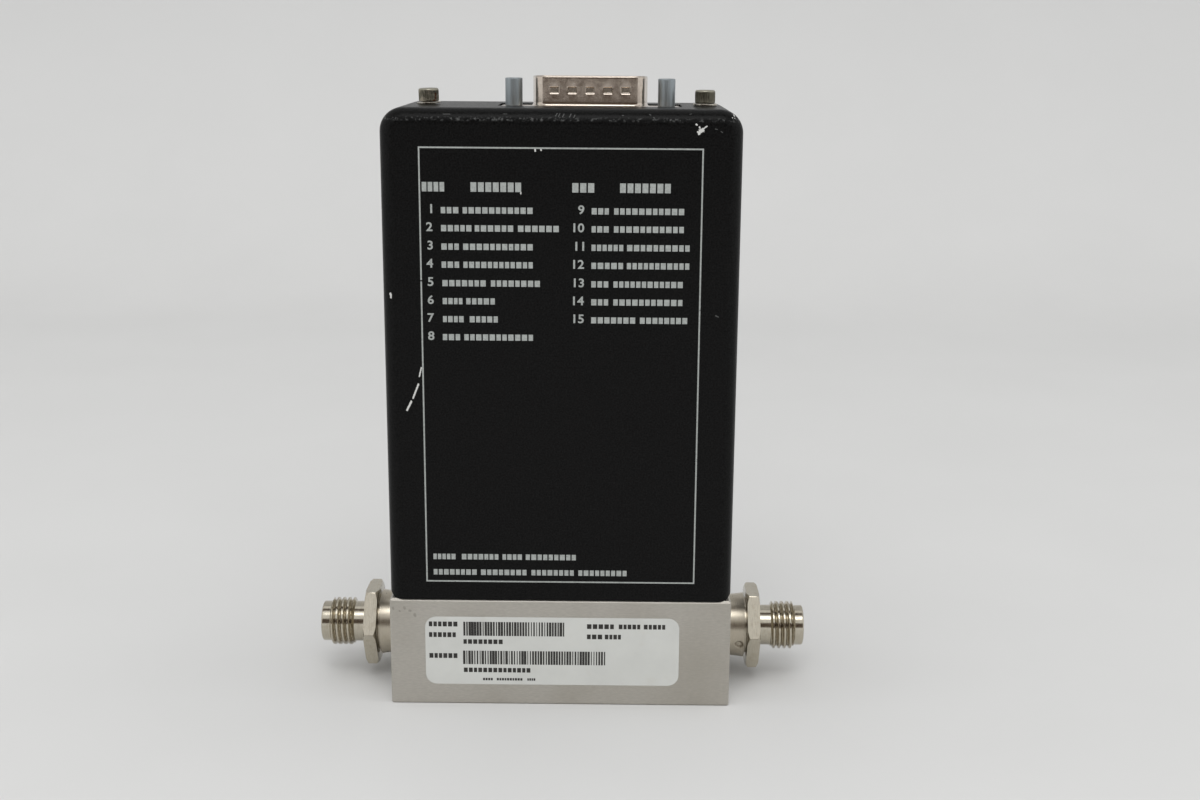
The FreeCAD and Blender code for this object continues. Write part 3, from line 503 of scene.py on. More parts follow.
def rim_y(x, z):
    """Where the cover's front surface lies at a place, with its rounded rim."""
    from_side = BASE_HALF - abs(x)
    from_top = COVER_TOP - z
    inset = min(from_side, from_top)
    if from_side < CORNER_R and from_top < CORNER_R:
        inset = CORNER_R - math.hypot(CORNER_R - from_side, CORNER_R - from_top)
    if inset >= RIM_R:
        return FRONT
    return FRONT + RIM_R - math.sqrt(RIM_R ** 2 - (RIM_R - inset) ** 2)


# Finishes

def surface(name, light, dark, roughness, grain, stretch=(1.0, 1.0, 1.0), bump=0.0, detail=3.0, **shader_values):
    """Material whose colour, roughness and bump follow one grain, which is the given millimetres across."""
    material = bpy.data.materials.new(name)
    material.use_nodes = True
    tree = material.node_tree
    tree.nodes.clear()
    coords = add(tree, "ShaderNodeTexCoord").outputs["Object"]
    drawn = add(tree, "ShaderNodeVectorMath", {0: coords, 1: stretch}, operation="MULTIPLY").outputs[0]
    noise = add(tree, "ShaderNodeTexNoise", {"Vector": drawn, "Scale": 1 / (grain * MM), "Detail": detail}).outputs[0]
    spread = {"Value": noise, "From Min": 0.3, "From Max": 0.7}
    blend = add(tree, "ShaderNodeMapRange", spread).outputs[0]
    colour = add(tree, "ShaderNodeMix", {0: blend, 6: (*dark, 1.0), 7: (*light, 1.0)}, data_type="RGBA")
    rough = add(tree, "ShaderNodeMapRange", {**spread, "To Min": roughness[0], "To Max": roughness[1]})
    shader = add(tree, "ShaderNodeBsdfPrincipled", shader_values)
    if bump:
        raised = add(tree, "ShaderNodeBump", {"Strength": 1.0, "Distance": bump * MM, "Height": noise})
        tree.links.new(raised.outputs[0], shader.inputs["Normal"])
    tree.links.new(colour.outputs[2], shader.inputs["Base Color"])
    tree.links.new(rough.outputs[0], shader.inputs["Roughness"])
    add(tree, "ShaderNodeOutputMaterial", {"Surface": shader.outputs[0]})
    return {"material": material, "tree": tree, "coords": coords, "shader": shader}


def overlay(look, colour, roughness, amount, *masks):
    """Lays another colour and roughness over a finish, by an amount, where all the masks are one."""
    tree = look["tree"]
    shader = look["shader"]
    share = amount
    for mask in masks:
        share = add(tree, "ShaderNodeMath", {0: share, 1: mask}, operation="MULTIPLY").outputs[0]
    base = shader.inputs["Base Color"].links[0].from_socket
    rough = shader.inputs["Roughness"].links[0].from_socket
    over = add(tree, "ShaderNodeMix", {0: share, 6: base, 7: (*colour, 1.0)}, data_type="RGBA")
    tree.links.new(over.outputs[2], shader.inputs["Base Color"])
    mixed = add(tree, "ShaderNodeMix", {0: share, 2: rough, 3: roughness}, data_type="FLOAT")
    tree.links.new(mixed.outputs[0], shader.inputs["Roughness"])


def stroke_mask(look, strokes, raggedness, grain):
    """Mask of strokes, each from one point to another with a half width, their edges broken by noise."""
    tree = look["tree"]
    coords = look["coords"]
    nearest = 100.0
    for start, end, half_width in strokes:
        first = Vector(start) * MM
        along = Vector(end) * MM - first
        offset = add(tree, "ShaderNodeVectorMath", {0: coords, 1: first}, operation="SUBTRACT").outputs[0]
        if along.length > 0:
            unit = along / along.length_squared
            share = add(tree, "ShaderNodeVectorMath", {0: offset, 1: unit}, operation="DOT_PRODUCT").outputs["Value"]
            held = add(tree, "ShaderNodeClamp", {0: share, 1: 0.0, 2: 1.0}).outputs[0]
            back = add(tree, "ShaderNodeVectorMath", {0: along, "Scale": held}, operation="SCALE").outputs[0]
            offset = add(tree, "ShaderNodeVectorMath", {0: offset, 1: back}, operation="SUBTRACT").outputs[0]
        length = add(tree, "ShaderNodeVectorMath", {0: offset}, operation="LENGTH").outputs["Value"]
        widths = add(tree, "ShaderNodeMath", {0: length, 1: half_width * MM}, operation="DIVIDE").outputs[0]
        nearest = add(tree, "ShaderNodeMath", {0: widths, 1: nearest}, operation="MINIMUM").outputs[0]
    rough = add(tree, "ShaderNodeTexNoise", {"Vector": coords, "Scale": 1 / (grain * MM), "Detail": 2.0}).outputs[0]
    broken = add(tree, "ShaderNodeMath", {0: rough, 1: raggedness, 2: nearest}, operation="MULTIPLY_ADD").outputs[0]
    middle = raggedness / 2
    return add(tree, "ShaderNodeMapRange", {
        "Value": broken,
        "From Min": 1.1 + middle,
        "From Max": 0.85 + middle,
    }).outputs[0]


def noise_mask(look, grain, low, high, stretch=(1.0, 1.0, 1.0)):
    """Mask of soft patches, the given millimetres across."""
    tree = look["tree"]
    drawn = add(tree, "ShaderNodeVectorMath", {0: look["coords"], 1: stretch}, operation="MULTIPLY").outputs[0]
    noise = add(tree, "ShaderNodeTexNoise", {"Vector": drawn, "Scale": 1 / (grain * MM), "Detail": 4.0}).outputs[0]
    return add(tree, "ShaderNodeMapRange", {"Value": noise, "From Min": low, "From Max": high}).outputs[0]


def span_mask(look, axis, middle, none, full):
    """Mask by the distance from a plane across an axis: nothing at the first distance, all at the second."""
    tree = look["tree"]
    place = add(tree, "ShaderNodeSeparateXYZ", {0: look["coords"]}).outputs[axis]
    offset = add(tree, "ShaderNodeMath", {0: place, 1: middle * MM}, operation="SUBTRACT").outputs[0]
    apart = add(tree, "ShaderNodeMath", {0: offset}, operation="ABSOLUTE").outputs[0]
    return add(tree, "ShaderNodeMapRange", {"Value": apart, "From Min": none * MM, "From Max": full * MM}).outputs[0]


def carry_over(node, material):
    """Give a CAD node its finish."""
    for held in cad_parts[node].material_slots:
        held.material = material


def finish_piece(piece, material, slot, *nodes):
    """Set a piece's finish, let it ride on the meter and stand for its CAD nodes."""
    piece.data.materials.clear()
    piece.data.materials.append(material)
    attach(piece, METER)
    if nodes:
        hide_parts(*nodes)


# Tube fittings

FITTING_START = 26.1
SPIGOT_R = 4.9
SPIGOT_END = 27.65
SHANK_R = 6.4
NECK_START = 38.1
NECK_ROOT_R = 7.15
NECK_R = 7.55
GROOVE_R = 6.5
GROOVE_START = 42.5
HEXAGON_START = 43.0
HEXAGON_END = 45.9
HEXAGON_FLATS = 17.46
HEXAGON_FACE_R = 9.3
OUTLET_TURN = math.radians(-1.3)
INLET_TURN = math.radians(1.3)
RELIEF_R = 4.68
THREAD_START = 48.8
THREAD_END = 54.5
THREAD_R = 5.55
THREAD_CHAMFER = 0.45
NOSE_R = 4.65
FITTING_TIP = 56.5
SEAT_R = 3.95
SEAT_DEPTH = 1.6
TUBE_R = 3.2
TUBE_STOP = 41.5
PASSAGE_R = 2.4
MARK_PLACE = 41.2
MARK_R = 1.0
MARK_DEPTH = 0.3
MARK_ANGLE = math.radians(198.0)
FITTING_SEGMENTS = 192
NECK_EDGE = 0.15
RELIEF_CORNER = 0.35
HEXAGON_BREAK = 0.015


def fitting_rings():
    """Rings of a tube fitting from its inner end, round the outside to the tip, and back through the bore."""
    chamfer = math.tan(math.radians(30.0))
    slope = (HEXAGON_FLATS / math.sqrt(3) - HEXAGON_FACE_R) * chamfer
    rings = rounds((FITTING_START, SPIGOT_R), (SPIGOT_END, SPIGOT_R), (SPIGOT_END, SHANK_R))
    rings += rounds((NECK_START, SHANK_R), (NECK_START, NECK_ROOT_R))
    for height in evenly(NECK_START + NECK_EDGE, GROOVE_START - NECK_EDGE, 40):
        rise = (height - NECK_START) / (GROOVE_START - NECK_START)
        rings.append((height, NECK_ROOT_R + (NECK_R - NECK_ROOT_R) * rise ** 2.2, "neck"))
    rings += arc(GROOVE_START - NECK_EDGE, NECK_R - NECK_EDGE, NECK_EDGE, 0.0, 90.0, 4)[1:]
    rings += rounds((GROOVE_START, GROOVE_R + 0.1), (GROOVE_START + 0.1, GROOVE_R))
    rings += rounds((HEXAGON_START - 0.1, GROOVE_R), (HEXAGON_START, GROOVE_R + 0.1))
    for face, first, last in (
        (HEXAGON_START, HEXAGON_START, HEXAGON_START + slope),
        (HEXAGON_END, HEXAGON_END - slope, HEXAGON_END),
    ):
        for height in evenly(first, last, 16):
            rings.append((height, HEXAGON_FACE_R + abs(height - face) / chamfer, "hexagon"))
    rings += rounds((HEXAGON_END, RELIEF_R + RELIEF_CORNER), (HEXAGON_END + RELIEF_CORNER, RELIEF_R))
    rings += rounds((THREAD_START - 0.05, RELIEF_R))
    for height in evenly(THREAD_START, THREAD_END, 116):
        run_in = RELIEF_R + (height - THREAD_START) * (THREAD_R - RELIEF_R) / THREAD_CHAMFER
        run_out = NOSE_R + (THREAD_END - height) * (THREAD_R - NOSE_R) / THREAD_CHAMFER
        rings.append((height, min(THREAD_R, run_in, run_out), "thread"))
    return rings + rounds(
        (THREAD_END + 0.05, NOSE_R),
        (THREAD_END + 0.13, NOSE_R),
        (FITTING_TIP - 0.38, NOSE_R),
        (FITTING_TIP - 0.3, NOSE_R),
        (FITTING_TIP - 0.2, NOSE_R - 0.04),
        (FITTING_TIP - 0.08, NOSE_R - 0.14),
        (FITTING_TIP, NOSE_R - 0.3),
        (FITTING_TIP, SEAT_R + 0.05),
        (FITTING_TIP - 0.05, SEAT_R),
        (FITTING_TIP - SEAT_DEPTH, TUBE_R),
        (TUBE_STOP, TUBE_R),
        (TUBE_STOP, PASSAGE_R),
        (FITTING_START, PASSAGE_R),
    )


def neck_with_mark(height, radius, angle):
    """The outlet's neck, with a small dimple whose floor rises in the middle."""
    across = radius * (angle % (2 * math.pi) - MARK_ANGLE)
    share = math.hypot(height - MARK_PLACE, across) / MARK_R
    if share >= 1:
        return radius
    return radius - MARK_DEPTH * min((1 - share) / 0.25, 1.0) * (0.7 + 0.3 * share)


def fitting_mesh(marked, turn, sizes, material, tree):
    """A tube fitting about Z with its hexagon at a turn, threaded by the tree."""
    def hexagon(height, radius, angle):
        return min(radius, hexagon_radius(HEXAGON_FLATS)(height, radius, angle - turn))

    shapes = {"hexagon": hexagon}
    if marked:
        shapes["neck"] = neck_with_mark
    blank = turned(fitting_rings(), FITTING_SEGMENTS, start=turn, shapes=shapes)
    break_edges(blank, HEXAGON_START, HEXAGON_END, HEXAGON_FLATS / 2 - 0.05, HEXAGON_BREAK)
    return run_tree(blank, tree, {
        "Pitch": sizes.thread_pitch,
        "Depth": sizes.thread_depth,
        "Crest Radius": THREAD_R * MM,
        "Side": 1.0,
        "Material": material,
    })


def machined_stainless(colours):
    """Turned stainless bar: bright and warm, with fine rings from the tool and painted shade in the thread's grooves
    and round the neck's mark.
    """
    steel = colours.fitting
    look = surface(
        "turned_stainless",
        steel,
        shade(steel, 0.82),
        (0.12, 0.19),
        0.11,
        stretch=(1.0, 0.06, 0.06),
        bump=0.0008,
        Metallic=1.0,
    )
    tree = look["tree"]
    overlay(look, linear("9b8e76"), 0.3, 0.3, noise_mask(look, 1.6, 0.52, 0.72))
    # Painted shade: a dark ring round the floor of the mark, its middle left bright
    mark = (MARK_PLACE, -7.0, 9.9)
    inner = (MARK_PLACE - 0.15, -7.0, 10.0)
    whole = stroke_mask(look, [(mark, mark, 1.0)], 0.5, 0.5)
    unshaded_middle = stroke_mask(look, [(inner, inner, 0.6)], 0.5, 0.5)
    ring = add(tree, "ShaderNodeMath", {0: whole, 1: unshaded_middle}, operation="SUBTRACT").outputs[0]
    overlay(look, linear("4d4335"), 0.45, 0.9, ring)
    # Painted shade: the thread's roots darker and browner, by their distance from the axis
    across = add(
        tree,
        "ShaderNodeVectorMath",
        {0: look["coords"], 1: (0.0, 1.0, 1.0), 2: (0.0, 0.0, -AXIS_HEIGHT * MM)},
        operation="MULTIPLY_ADD",
    ).outputs[0]
    radius = add(tree, "ShaderNodeVectorMath", {0: across}, operation="LENGTH").outputs["Value"]
    root = add(tree, "ShaderNodeMapRange", {"Value": radius, "From Min": 5.25 * MM, "From Max": 4.85 * MM}).outputs[0]
    past = span_mask(look, 0, 0.0, THREAD_START + 0.1, THREAD_START + 0.5)
    short = span_mask(look, 0, 0.0, THREAD_END, THREAD_END - 0.2)
    overlay(look, linear("9a8c72"), 0.34, 0.4, root, past, short)
    # The duller neck
    overlay(look, linear("c3b9a8"), 0.42, 0.5, span_mask(look, 0, 0.0, HEXAGON_START, HEXAGON_START - 0.1))
    return look["material"]


class METER_OT_fittings(bpy.types.Operator):
    """Turn the two tube fittings, with their hexagons, threads and the mark on the outlet's neck"""

    bl_idname = "meter.fittings"
    bl_label = "Turn Tube Fittings"

    def execute(self, context):
        sizes = context.scene.meter_sizes
        material = machined_stainless(context.scene.meter_colours)
        tree = thread_tree()
        along_x = Matrix(((0, 0, 1), (1, 0, 0), (0, 1, 0))).to_4x4()
        lay = Matrix.Translation((0.0, 0.0, AXIS_HEIGHT * MM)) @ along_x
        half_turn = Matrix.Rotation(math.pi, 4, "Z")
        for name, node, marked, turn in (
            ("outlet_fitting_turned", "outlet_fitting", True, OUTLET_TURN),
            ("inlet_fitting_turned", "inlet_fitting", False, INLET_TURN),
        ):
            mesh = fitting_mesh(marked, turn, sizes, material, tree)
            mesh.transform(lay if marked else half_turn @ lay)
            soften(mesh)
            finish_piece(new_object(name, mesh), material, "steel_bright", node)
        return {"FINISHED"}


# Cover

PAINT_CHIPS = (
    # The large chip near the outlet's top corner, with its arms and specks
    ((28.95, 128.35), (29.35, 128.5), 0.42),
    ((29.5, 128.75), (29.75, 128.95), 0.16),
    ((29.95, 129.15), (30.25, 129.3), 0.15),
    ((28.72, 129.15), (28.78, 129.0), 0.17),
    ((28.1, 129.68), (28.12, 129.66), 0.22),
    ((28.75, 127.95), (28.65, 127.85), 0.3),
    ((28.4, 128.2), (28.4, 128.2), 0.18),
    # Specks on the corner and on both side edges
    ((35.95, 131.6), (36.0, 131.4), 0.18),
    ((35.6, 131.05), (35.6, 131.05), 0.12),
    ((36.1, 130.95), (36.1, 130.95), 0.12),
    ((-36.25, 93.7), (-36.15, 92.9), 0.24),
    # The long broken scratch beside the frame
    ((-29.95, 77.7), (-30.4, 75.75), 0.15),
    ((-30.64, 74.05), (-31.84, 70.96), 0.19),
    ((-32.26, 70.2), (-33.2, 68.3), 0.21),
    # Nicks below the frame's top line and by the first heading
    ((-5.35, 124.4), (-5.35, 124.0), 0.18),
    ((-4.15, 124.4), (-4.1, 124.15), 0.15),
    ((-8.33, 115.4), (-8.4, 115.1), 0.13),
)
# Height of the painted highlight along the cover's rim
RIM_HIGHLIGHT_HEIGHT = 130.5
# Lighter grey marks on the rounded edges, most of them where the key lamp's highlight falls: rubbed paint, partly
# painted glints
EDGE_RUBS_AND_GLINTS = (
    ((-1.09, 131.2), (-0.8, 131.7), 0.098),
    ((-0.5, 131.1), (-0.2, 131.7), 0.084),
    ((0.35, 131.0), (0.65, 131.6), 0.091),
    ((1.8, 131.0), (2.1, 131.6), 0.098),
    ((2.67, 130.9), (2.9, 131.4), 0.084),
    ((12.7, 131.4), (13.0, 131.4), 0.084),
    ((18.4, 131.6), (18.6, 131.5), 0.105),
    ((19.2, 131.0), (19.4, 130.9), 0.098),
    ((26.7, 131.7), (27.1, 131.8), 0.07),
    ((32.05, 128.8), (32.4, 128.7), 0.091),
    ((33.2, 128.3), (33.5, 128.1), 0.084),
    ((33.0, 89.6), (33.6, 89.3), 0.126),
    ((-12.0, 131.5), (-11.2, 131.5), 0.07),
    ((-24.5, 131.4), (-23.0, 131.4), 0.07),
)


def on_cover(strokes):
    """Strokes on the cover's front, laid onto its surface."""
    return [((a[0], rim_y(*a), a[1]), (b[0], rim_y(*b), b[1]), width) for a, b, width in strokes]


def textured_enamel(colours):
    """Black powder enamel: near black, low gloss, with a pebbled skin drawn about twice as coarse."""
    paint = colours.paint
    look = surface(
        "textured_black_enamel",
        shade(paint, 2.6),
        shade(paint, 0.2),
        (0.28, 0.38),
        0.36,
        bump=0.045,
        detail=2.0,
        **{"Specular IOR Level": 0.11},
    )
    # Painted highlight: lighter grey specks in a band along the rim, where the key lamp's highlight falls
    rim = span_mask(look, 2, RIM_HIGHLIGHT_HEIGHT, 0.55, 0.1)
    overlay(look, linear("646564"), 0.3, 0.6, rim, noise_mask(look, 0.6, 0.52, 0.68))
    # Rubbed marks, partly painted glints, on the rounded edges
    overlay(look, linear("4d4e4d"), 0.4, 1.0, stroke_mask(look, on_cover(EDGE_RUBS_AND_GLINTS), 1.6, 0.2))
    overlay(look, colours.bare, 0.45, 1.0, stroke_mask(look, on_cover(PAINT_CHIPS), 1.7, 0.28))
    return look["material"]


class METER_OT_cover(bpy.types.Operator):
    """Paint the drawn cover, with its chips and scratch, rubbed marks and painted glints on its edges, and a painted
    highlight along the rim
    """

    bl_idname = "meter.cover"
    bl_label = "Paint Cover"

    def execute(self, context):
        carry_over("cover", textured_enamel(context.scene.meter_colours))
        return {"FINISHED"}


# Print on the cover

FRAME_LEFT = -29.6
FRAME_RIGHT = 29.6
FRAME_BOTTOM = 29.3
FRAME_TOP = 124.6
FRAME_BREAK = 96.55
HEADING_HEIGHT = 116.45
HEADINGS = ((-29.1, -24.4), (-18.9, -8.3), (2.4, 7.0), (12.4, 23.0))
ROW_HEIGHTS = (111.86, 108.08, 104.18, 100.35, 96.4, 92.54, 88.65, 84.74)
SHORT_ROW = ((-25.2, -21.5), (-20.6, -5.9))
LEFT_WORDS = (
    SHORT_ROW,
    ((-25.2, -18.8), (-18.1, -10.0), (-9.0, -0.4)),
    SHORT_ROW,
    SHORT_ROW,
    ((-25.1, -15.9), (-14.8, -4.4)),
    ((-25.1, -20.9), (-20.1, -14.0)),
    ((-25.1, -20.7), (-19.4, -13.4)),
    SHORT_ROW,
)
LONG_ROW = ((6.5, 10.1), (11.2, 25.9))
PAIR_ROW = ((6.5, 13.2), (14.0, 27.2))
RIGHT_WORDS = (LONG_ROW, LONG_ROW, PAIR_ROW, PAIR_ROW, LONG_ROW, LONG_ROW, ((6.5, 15.9), (16.9, 27.0)))
FOOT_LINES = (
    (35.3, ((-28.1, -23.2), (-21.8, -13.7), (-12.8, -8.5), (-7.65, 3.44))),
    (31.7, ((-28.1, -18.55), (-17.6, -7.5), (-6.4, 3.0), (4.0, 14.7))),
)
NUMBER_ENDS = (-27.0, 4.95)
NUMBER_WEIGHT = 0.02
NUMBER_STRETCH = 1.1
BLOCK_GAP = 0.17
PRINT_BLOCKS = ((0.62, 1.0), (0.6, 0.7), (0.5, 0.7))
PRINT_SINK = 0.002


def word_points(words, height, draw, cap, kinds=(1, 2)):
    """Points with a kind and a size for the blocks that fill each word's length on a line."""
    points = []
    for first, last in words:
        drawn = []
        used = 0.0
        while used < last - first:
            drawn.append(draw.choice(kinds))
            used += (PRINT_BLOCKS[drawn[-1]][0] + BLOCK_GAP) * cap
        wide = cap * (last - first) / (used - BLOCK_GAP * cap)
        x = first
        for kind in drawn:
            points.append(((x, height - cap / 2), kind, (wide, cap)))
            x += (PRINT_BLOCKS[kind][0] + BLOCK_GAP) * wide
    return points


def print_mesh(points, depth_y, thickness, material):
    """Plain mesh of the blocks that stand in for print, on points with a kind and a size."""
    blocks = []
    for width, height in PRINT_BLOCKS:
        blocks.append(line_mesh(0.0, width / MM, 0.0, height / MM, -thickness / MM, 0.0))
    return set_out(
        blocks,
        material,
        [(x, depth_y, z) for (x, z), kind, size in points],
        kinds=[kind for place, kind, size in points],
        sizes=[(wide * MM, 1.0, tall * MM) for place, kind, (wide, tall) in points],
    )


def number_mesh(text, right, height, cap, thickness):
    """A plain number as a closed mesh on the cover's front, ending at the right."""
    curve = bpy.data.curves.new("number", "FONT")
    curve.body = text
    curve.size = 1.0
    curve.resolution_u = 4
    curve.offset = NUMBER_WEIGHT
    holder = new_object("number", curve)
    flat = evaluated(holder)
    tall = max(v.co.y for v in flat.vertices) - min(v.co.y for v in flat.vertices)
    scale = cap * MM / tall
    curve.size = scale
    curve.offset = NUMBER_WEIGHT * scale
    curve.extrude = thickness / 2
    mesh = evaluated(holder)
    bpy.data.objects.remove(holder)
    lowest = min(v.co.y for v in mesh.vertices)
    mesh.transform(Matrix.Diagonal((NUMBER_STRETCH, 1.0, 1.0, 1.0)))
    end = max(v.co.x for v in mesh.vertices)
    mesh.transform(Matrix.Translation((right * MM - end, -lowest, 0.0)))
    mesh.transform(Matrix.Rotation(math.radians(90.0), 4, "X"))
    depth_y = (FRONT + PRINT_SINK) * MM - thickness / 2
    mesh.transform(Matrix.Translation((0.0, depth_y, (height - cap / 2) * MM)))
    closed_up(mesh)
    return mesh


def line_mesh(x0, x1, z0, z1, y0, y1):
    """A printed line as a thin closed bar."""
    work = bmesh.new()
    bmesh.ops.create_cube(work, size=1.0)
    middle = Vector(((x0 + x1) / 2, (y0 + y1) / 2, (z0 + z1) / 2)) * MM
    place = Matrix.Translation(middle) @ Matrix.Diagonal(Vector((x1 - x0, y1 - y0, z1 - z0, 1000.0)) * MM)
    bmesh.ops.transform(work, matrix=place, verts=work.verts)
    mesh = bpy.data.meshes.new("line")
    work.to_mesh(mesh)
    work.free()
    return mesh


def screen_ink(colours):
    """Screen-printed epoxy ink: matt grey-white, worn thin over the paint's grain."""
    ink = colours.ink
    look = surface("screen_ink", ink, shade(ink, 0.72), (0.5, 0.65), 0.4, bump=0.004)
    overlay(look, colours.paint, 0.5, 0.7, noise_mask(look, 0.5, 0.66, 0.74))
    return look["material"]


class METER_OT_cover_print(bpy.types.Operator):
    """Print the frame, the plain numbers and the rows of plain blocks on the cover"""

    bl_idname = "meter.cover_print"
    bl_label = "Print Cover"

    def execute(self, context):
        sizes = context.scene.meter_sizes
        material = screen_ink(context.scene.meter_colours)
        ink = sizes.ink_thickness
        back = FRONT + PRINT_SINK
        front = back - ink / MM
        half_line = sizes.line_width / MM / 2
        cap = sizes.cap_height / MM
        meshes = []
        for height in (FRAME_BOTTOM, FRAME_TOP):
            meshes.append(line_mesh(
                FRAME_LEFT - half_line, FRAME_RIGHT + half_line, height - half_line, height + half_line, front, back
            ))
        for x in (FRAME_LEFT, FRAME_RIGHT):
            stops = (FRAME_BOTTOM + half_line, FRAME_BREAK - 0.12, FRAME_BREAK + 0.16, FRAME_TOP - half_line)
            spans = (stops[:2], stops[2:]) if x < 0 else ((stops[0], stops[3]),)
            for low, high in spans:
                meshes.append(line_mesh(x - half_line, x + half_line, low, high, front, back))
        draw = random.Random(5)
        points = []
        number = 0
        for column, end in zip((LEFT_WORDS, RIGHT_WORDS), NUMBER_ENDS):
            for height, words in zip(ROW_HEIGHTS, column):
                number += 1
                meshes.append(number_mesh(str(number), end, height, cap, ink))
                points += word_points(words, height, draw, cap)
        for height, words in FOOT_LINES:
            points += word_points(words, height, draw, cap * 0.96)
        points += word_points(HEADINGS, HEADING_HEIGHT, draw, cap * 1.04, kinds=(0,))
        meshes.append(print_mesh(points, back, ink, material))
        finish_piece(new_object("cover_print", joined(meshes)), material, "cover_paint")
        return {"FINISHED"}


# Base

BASE_SCUFFS = (
    ((-37.4, FRONT, 22.8), (-37.3, FRONT, 22.6), 0.26),
    ((-34.9, FRONT, 22.9), (-34.7, FRONT, 22.7), 0.3),
    ((-35.9, FRONT, 22.1), (-35.8, FRONT, 22.05), 0.22),
    ((-33.7, FRONT, 22.2), (-33.5, FRONT, 22.15), 0.3),
    ((-32.5, FRONT, 21.3), (-32.4, FRONT, 21.0), 0.32),
)


def blasted_stainless(colours):
    """Milled and bead-blasted stainless block: satin warm grey with a faint pull of the cutter."""
    steel = colours.base
    look = surface(
        "blasted_stainless",
        steel,
        shade(steel, 0.86),
        (0.4, 0.5),
        0.3,
        stretch=(0.25, 0.25, 1.0),
        bump=0.003,
        Metallic=1.0,
    )
    overlay(look, linear("a39d90"), 0.46, 0.35, noise_mask(look, 22.0, 0.45, 0.7))
    overlay(look, linear("7d786d"), 0.55, 0.35, stroke_mask(look, BASE_SCUFFS, 1.4, 0.3))
    return look["material"]


class METER_OT_base(bpy.types.Operator):
    """Finish the milled base block"""

    bl_idname = "meter.base"
    bl_label = "Finish Base"

    def execute(self, context):
        carry_over("base_block", blasted_stainless(context.scene.meter_colours))
        return {"FINISHED"}


# Label

BAR_FIELDS = (((-21.76, 1.05), (16.42, 19.74)), ((-21.87, 10.28), (9.6, 12.85)))
LABEL_LINES = (
    (19.4, 1.65, ((-29.4, -23.0),)),
    (16.85, 1.65, ((-29.4, -23.4),)),
    (11.85, 1.65, ((-29.4, -23.1),)),
    (19.1, 1.6, ((6.0, 12.0), (13.1, 17.9), (18.7, 23.5))),
    (16.65, 1.6, ((6.0, 9.4), (10.0, 13.6))),
    (15.25, 1.55, ((-21.7, -12.9),)),
    (8.45, 1.55, ((-21.7, -6.7),)),
    (6.15, 0.85, ((-17.4, -15.2), (-14.3, -8.5), (-7.4, -5.6))),
)
# Share of the cover ink's thickness, and how far this thinner print stands off the film
LABEL_INK_SHARE = 0.4
LABEL_INK_RISE = 0.004


def label_film(colours):
    """Polyester label film: off-white, half gloss, a little grubby."""
    film = colours.label
    look = surface("label_film", film, shade(film, 0.93), (0.34, 0.42), 6.0, Metallic=0.0)
    overlay(look, linear("b5b0a4"), 0.45, 0.25, noise_mask(look, 4.0, 0.6, 0.8))
    return look["material"]


def thermal_ink(colours):
    """Thermal transfer print: black resin, broken where the head missed the film."""
    black = colours.label_ink
    look = surface("thermal_ink", shade(black, 1.6), black, (0.4, 0.5), 0.5)
    overlay(look, linear("6a6964"), 0.5, 0.25, noise_mask(look, 3.0, 0.55, 0.75, stretch=(1.0, 1.0, 0.3)))
    return look["material"]


class METER_OT_label(bpy.types.Operator):
    """Finish the label film and print its bar fields and rows of plain blocks"""

    bl_idname = "meter.label"
    bl_label = "Print Label"

    def execute(self, context):
        sizes = context.scene.meter_sizes
        colours = context.scene.meter_colours
        carry_over("id_label", label_film(colours))
        material = thermal_ink(colours)
        ink = LABEL_INK_SHARE * sizes.ink_thickness
        label_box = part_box("id_label")
        face = label_box[0][1] / MM
        start = bpy.data.meshes.new("start")
        tree = bar_field_tree()
        meshes = []
        for field, ((left, right), (bottom, top)) in enumerate(BAR_FIELDS):
            count = round((right - left) * MM / sizes.bar_pitch)
            pitch = (right - left) / count
            meshes.append(run_tree(start, tree, {
                "Count": count,
                "Pitch": pitch * MM,
                "Height": (top - bottom) * MM,
                "Thickness": ink,
                "Seed": sizes.bar_seed + field,
                "Start": (
                    (left + pitch / 2) * MM,
                    (face - LABEL_INK_RISE) * MM + ink / 2,
                    (bottom + top) / 2 * MM,
                ),
                "Material": material,
            }))
        draw = random.Random(9)
        points = []
        for height, cap, words in LABEL_LINES:
            points += word_points(words, height, draw, cap)
        meshes.append(print_mesh(points, face + ink / MM - LABEL_INK_RISE, ink, material))
        finish_piece(new_object("label_print", joined(meshes)), material, "label_white")
        return {"FINISHED"}


# Plug and posts

PLUG_X = 5.8
FLANGE_HALF_LENGTH = 19.57
FLANGE_HALF_DEPTH = 6.275
FLANGE_LOW = 132.05
FLANGE_HIGH = 132.45
SHELL_TOP = 138.9
SHELL_HALF_WIDTH = 13.0
SHELL_HALF_DEPTH = 4.2
SHELL_CORNER_R = 2.6
SHELL_SLOPE = math.radians(10.0)
SHELL_WALL = 0.5
SHELL_ROOT_R = 0.75
DIMPLE_HEIGHT = 135.9
DIMPLE_HALF = (1.0, 0.75)
DIMPLE_PITCH = 3.85
DIMPLE_COUNT = 5
DISH_DEPTH = 0.03
POST_SPACING = 33.32
POST_R = 1.88
POST_TOP = 138.45
POST_SHANK_R = 1.42
POST_BOTTOM = 127.8
POST_BORE_R = 1.13
POST_BORE_FLOOR = 133.45
SHANK_HOLE_R = 1.62
POST_TURNS = ((0.0, 0.0, 0.4), (0.0, 0.0, 1.9))


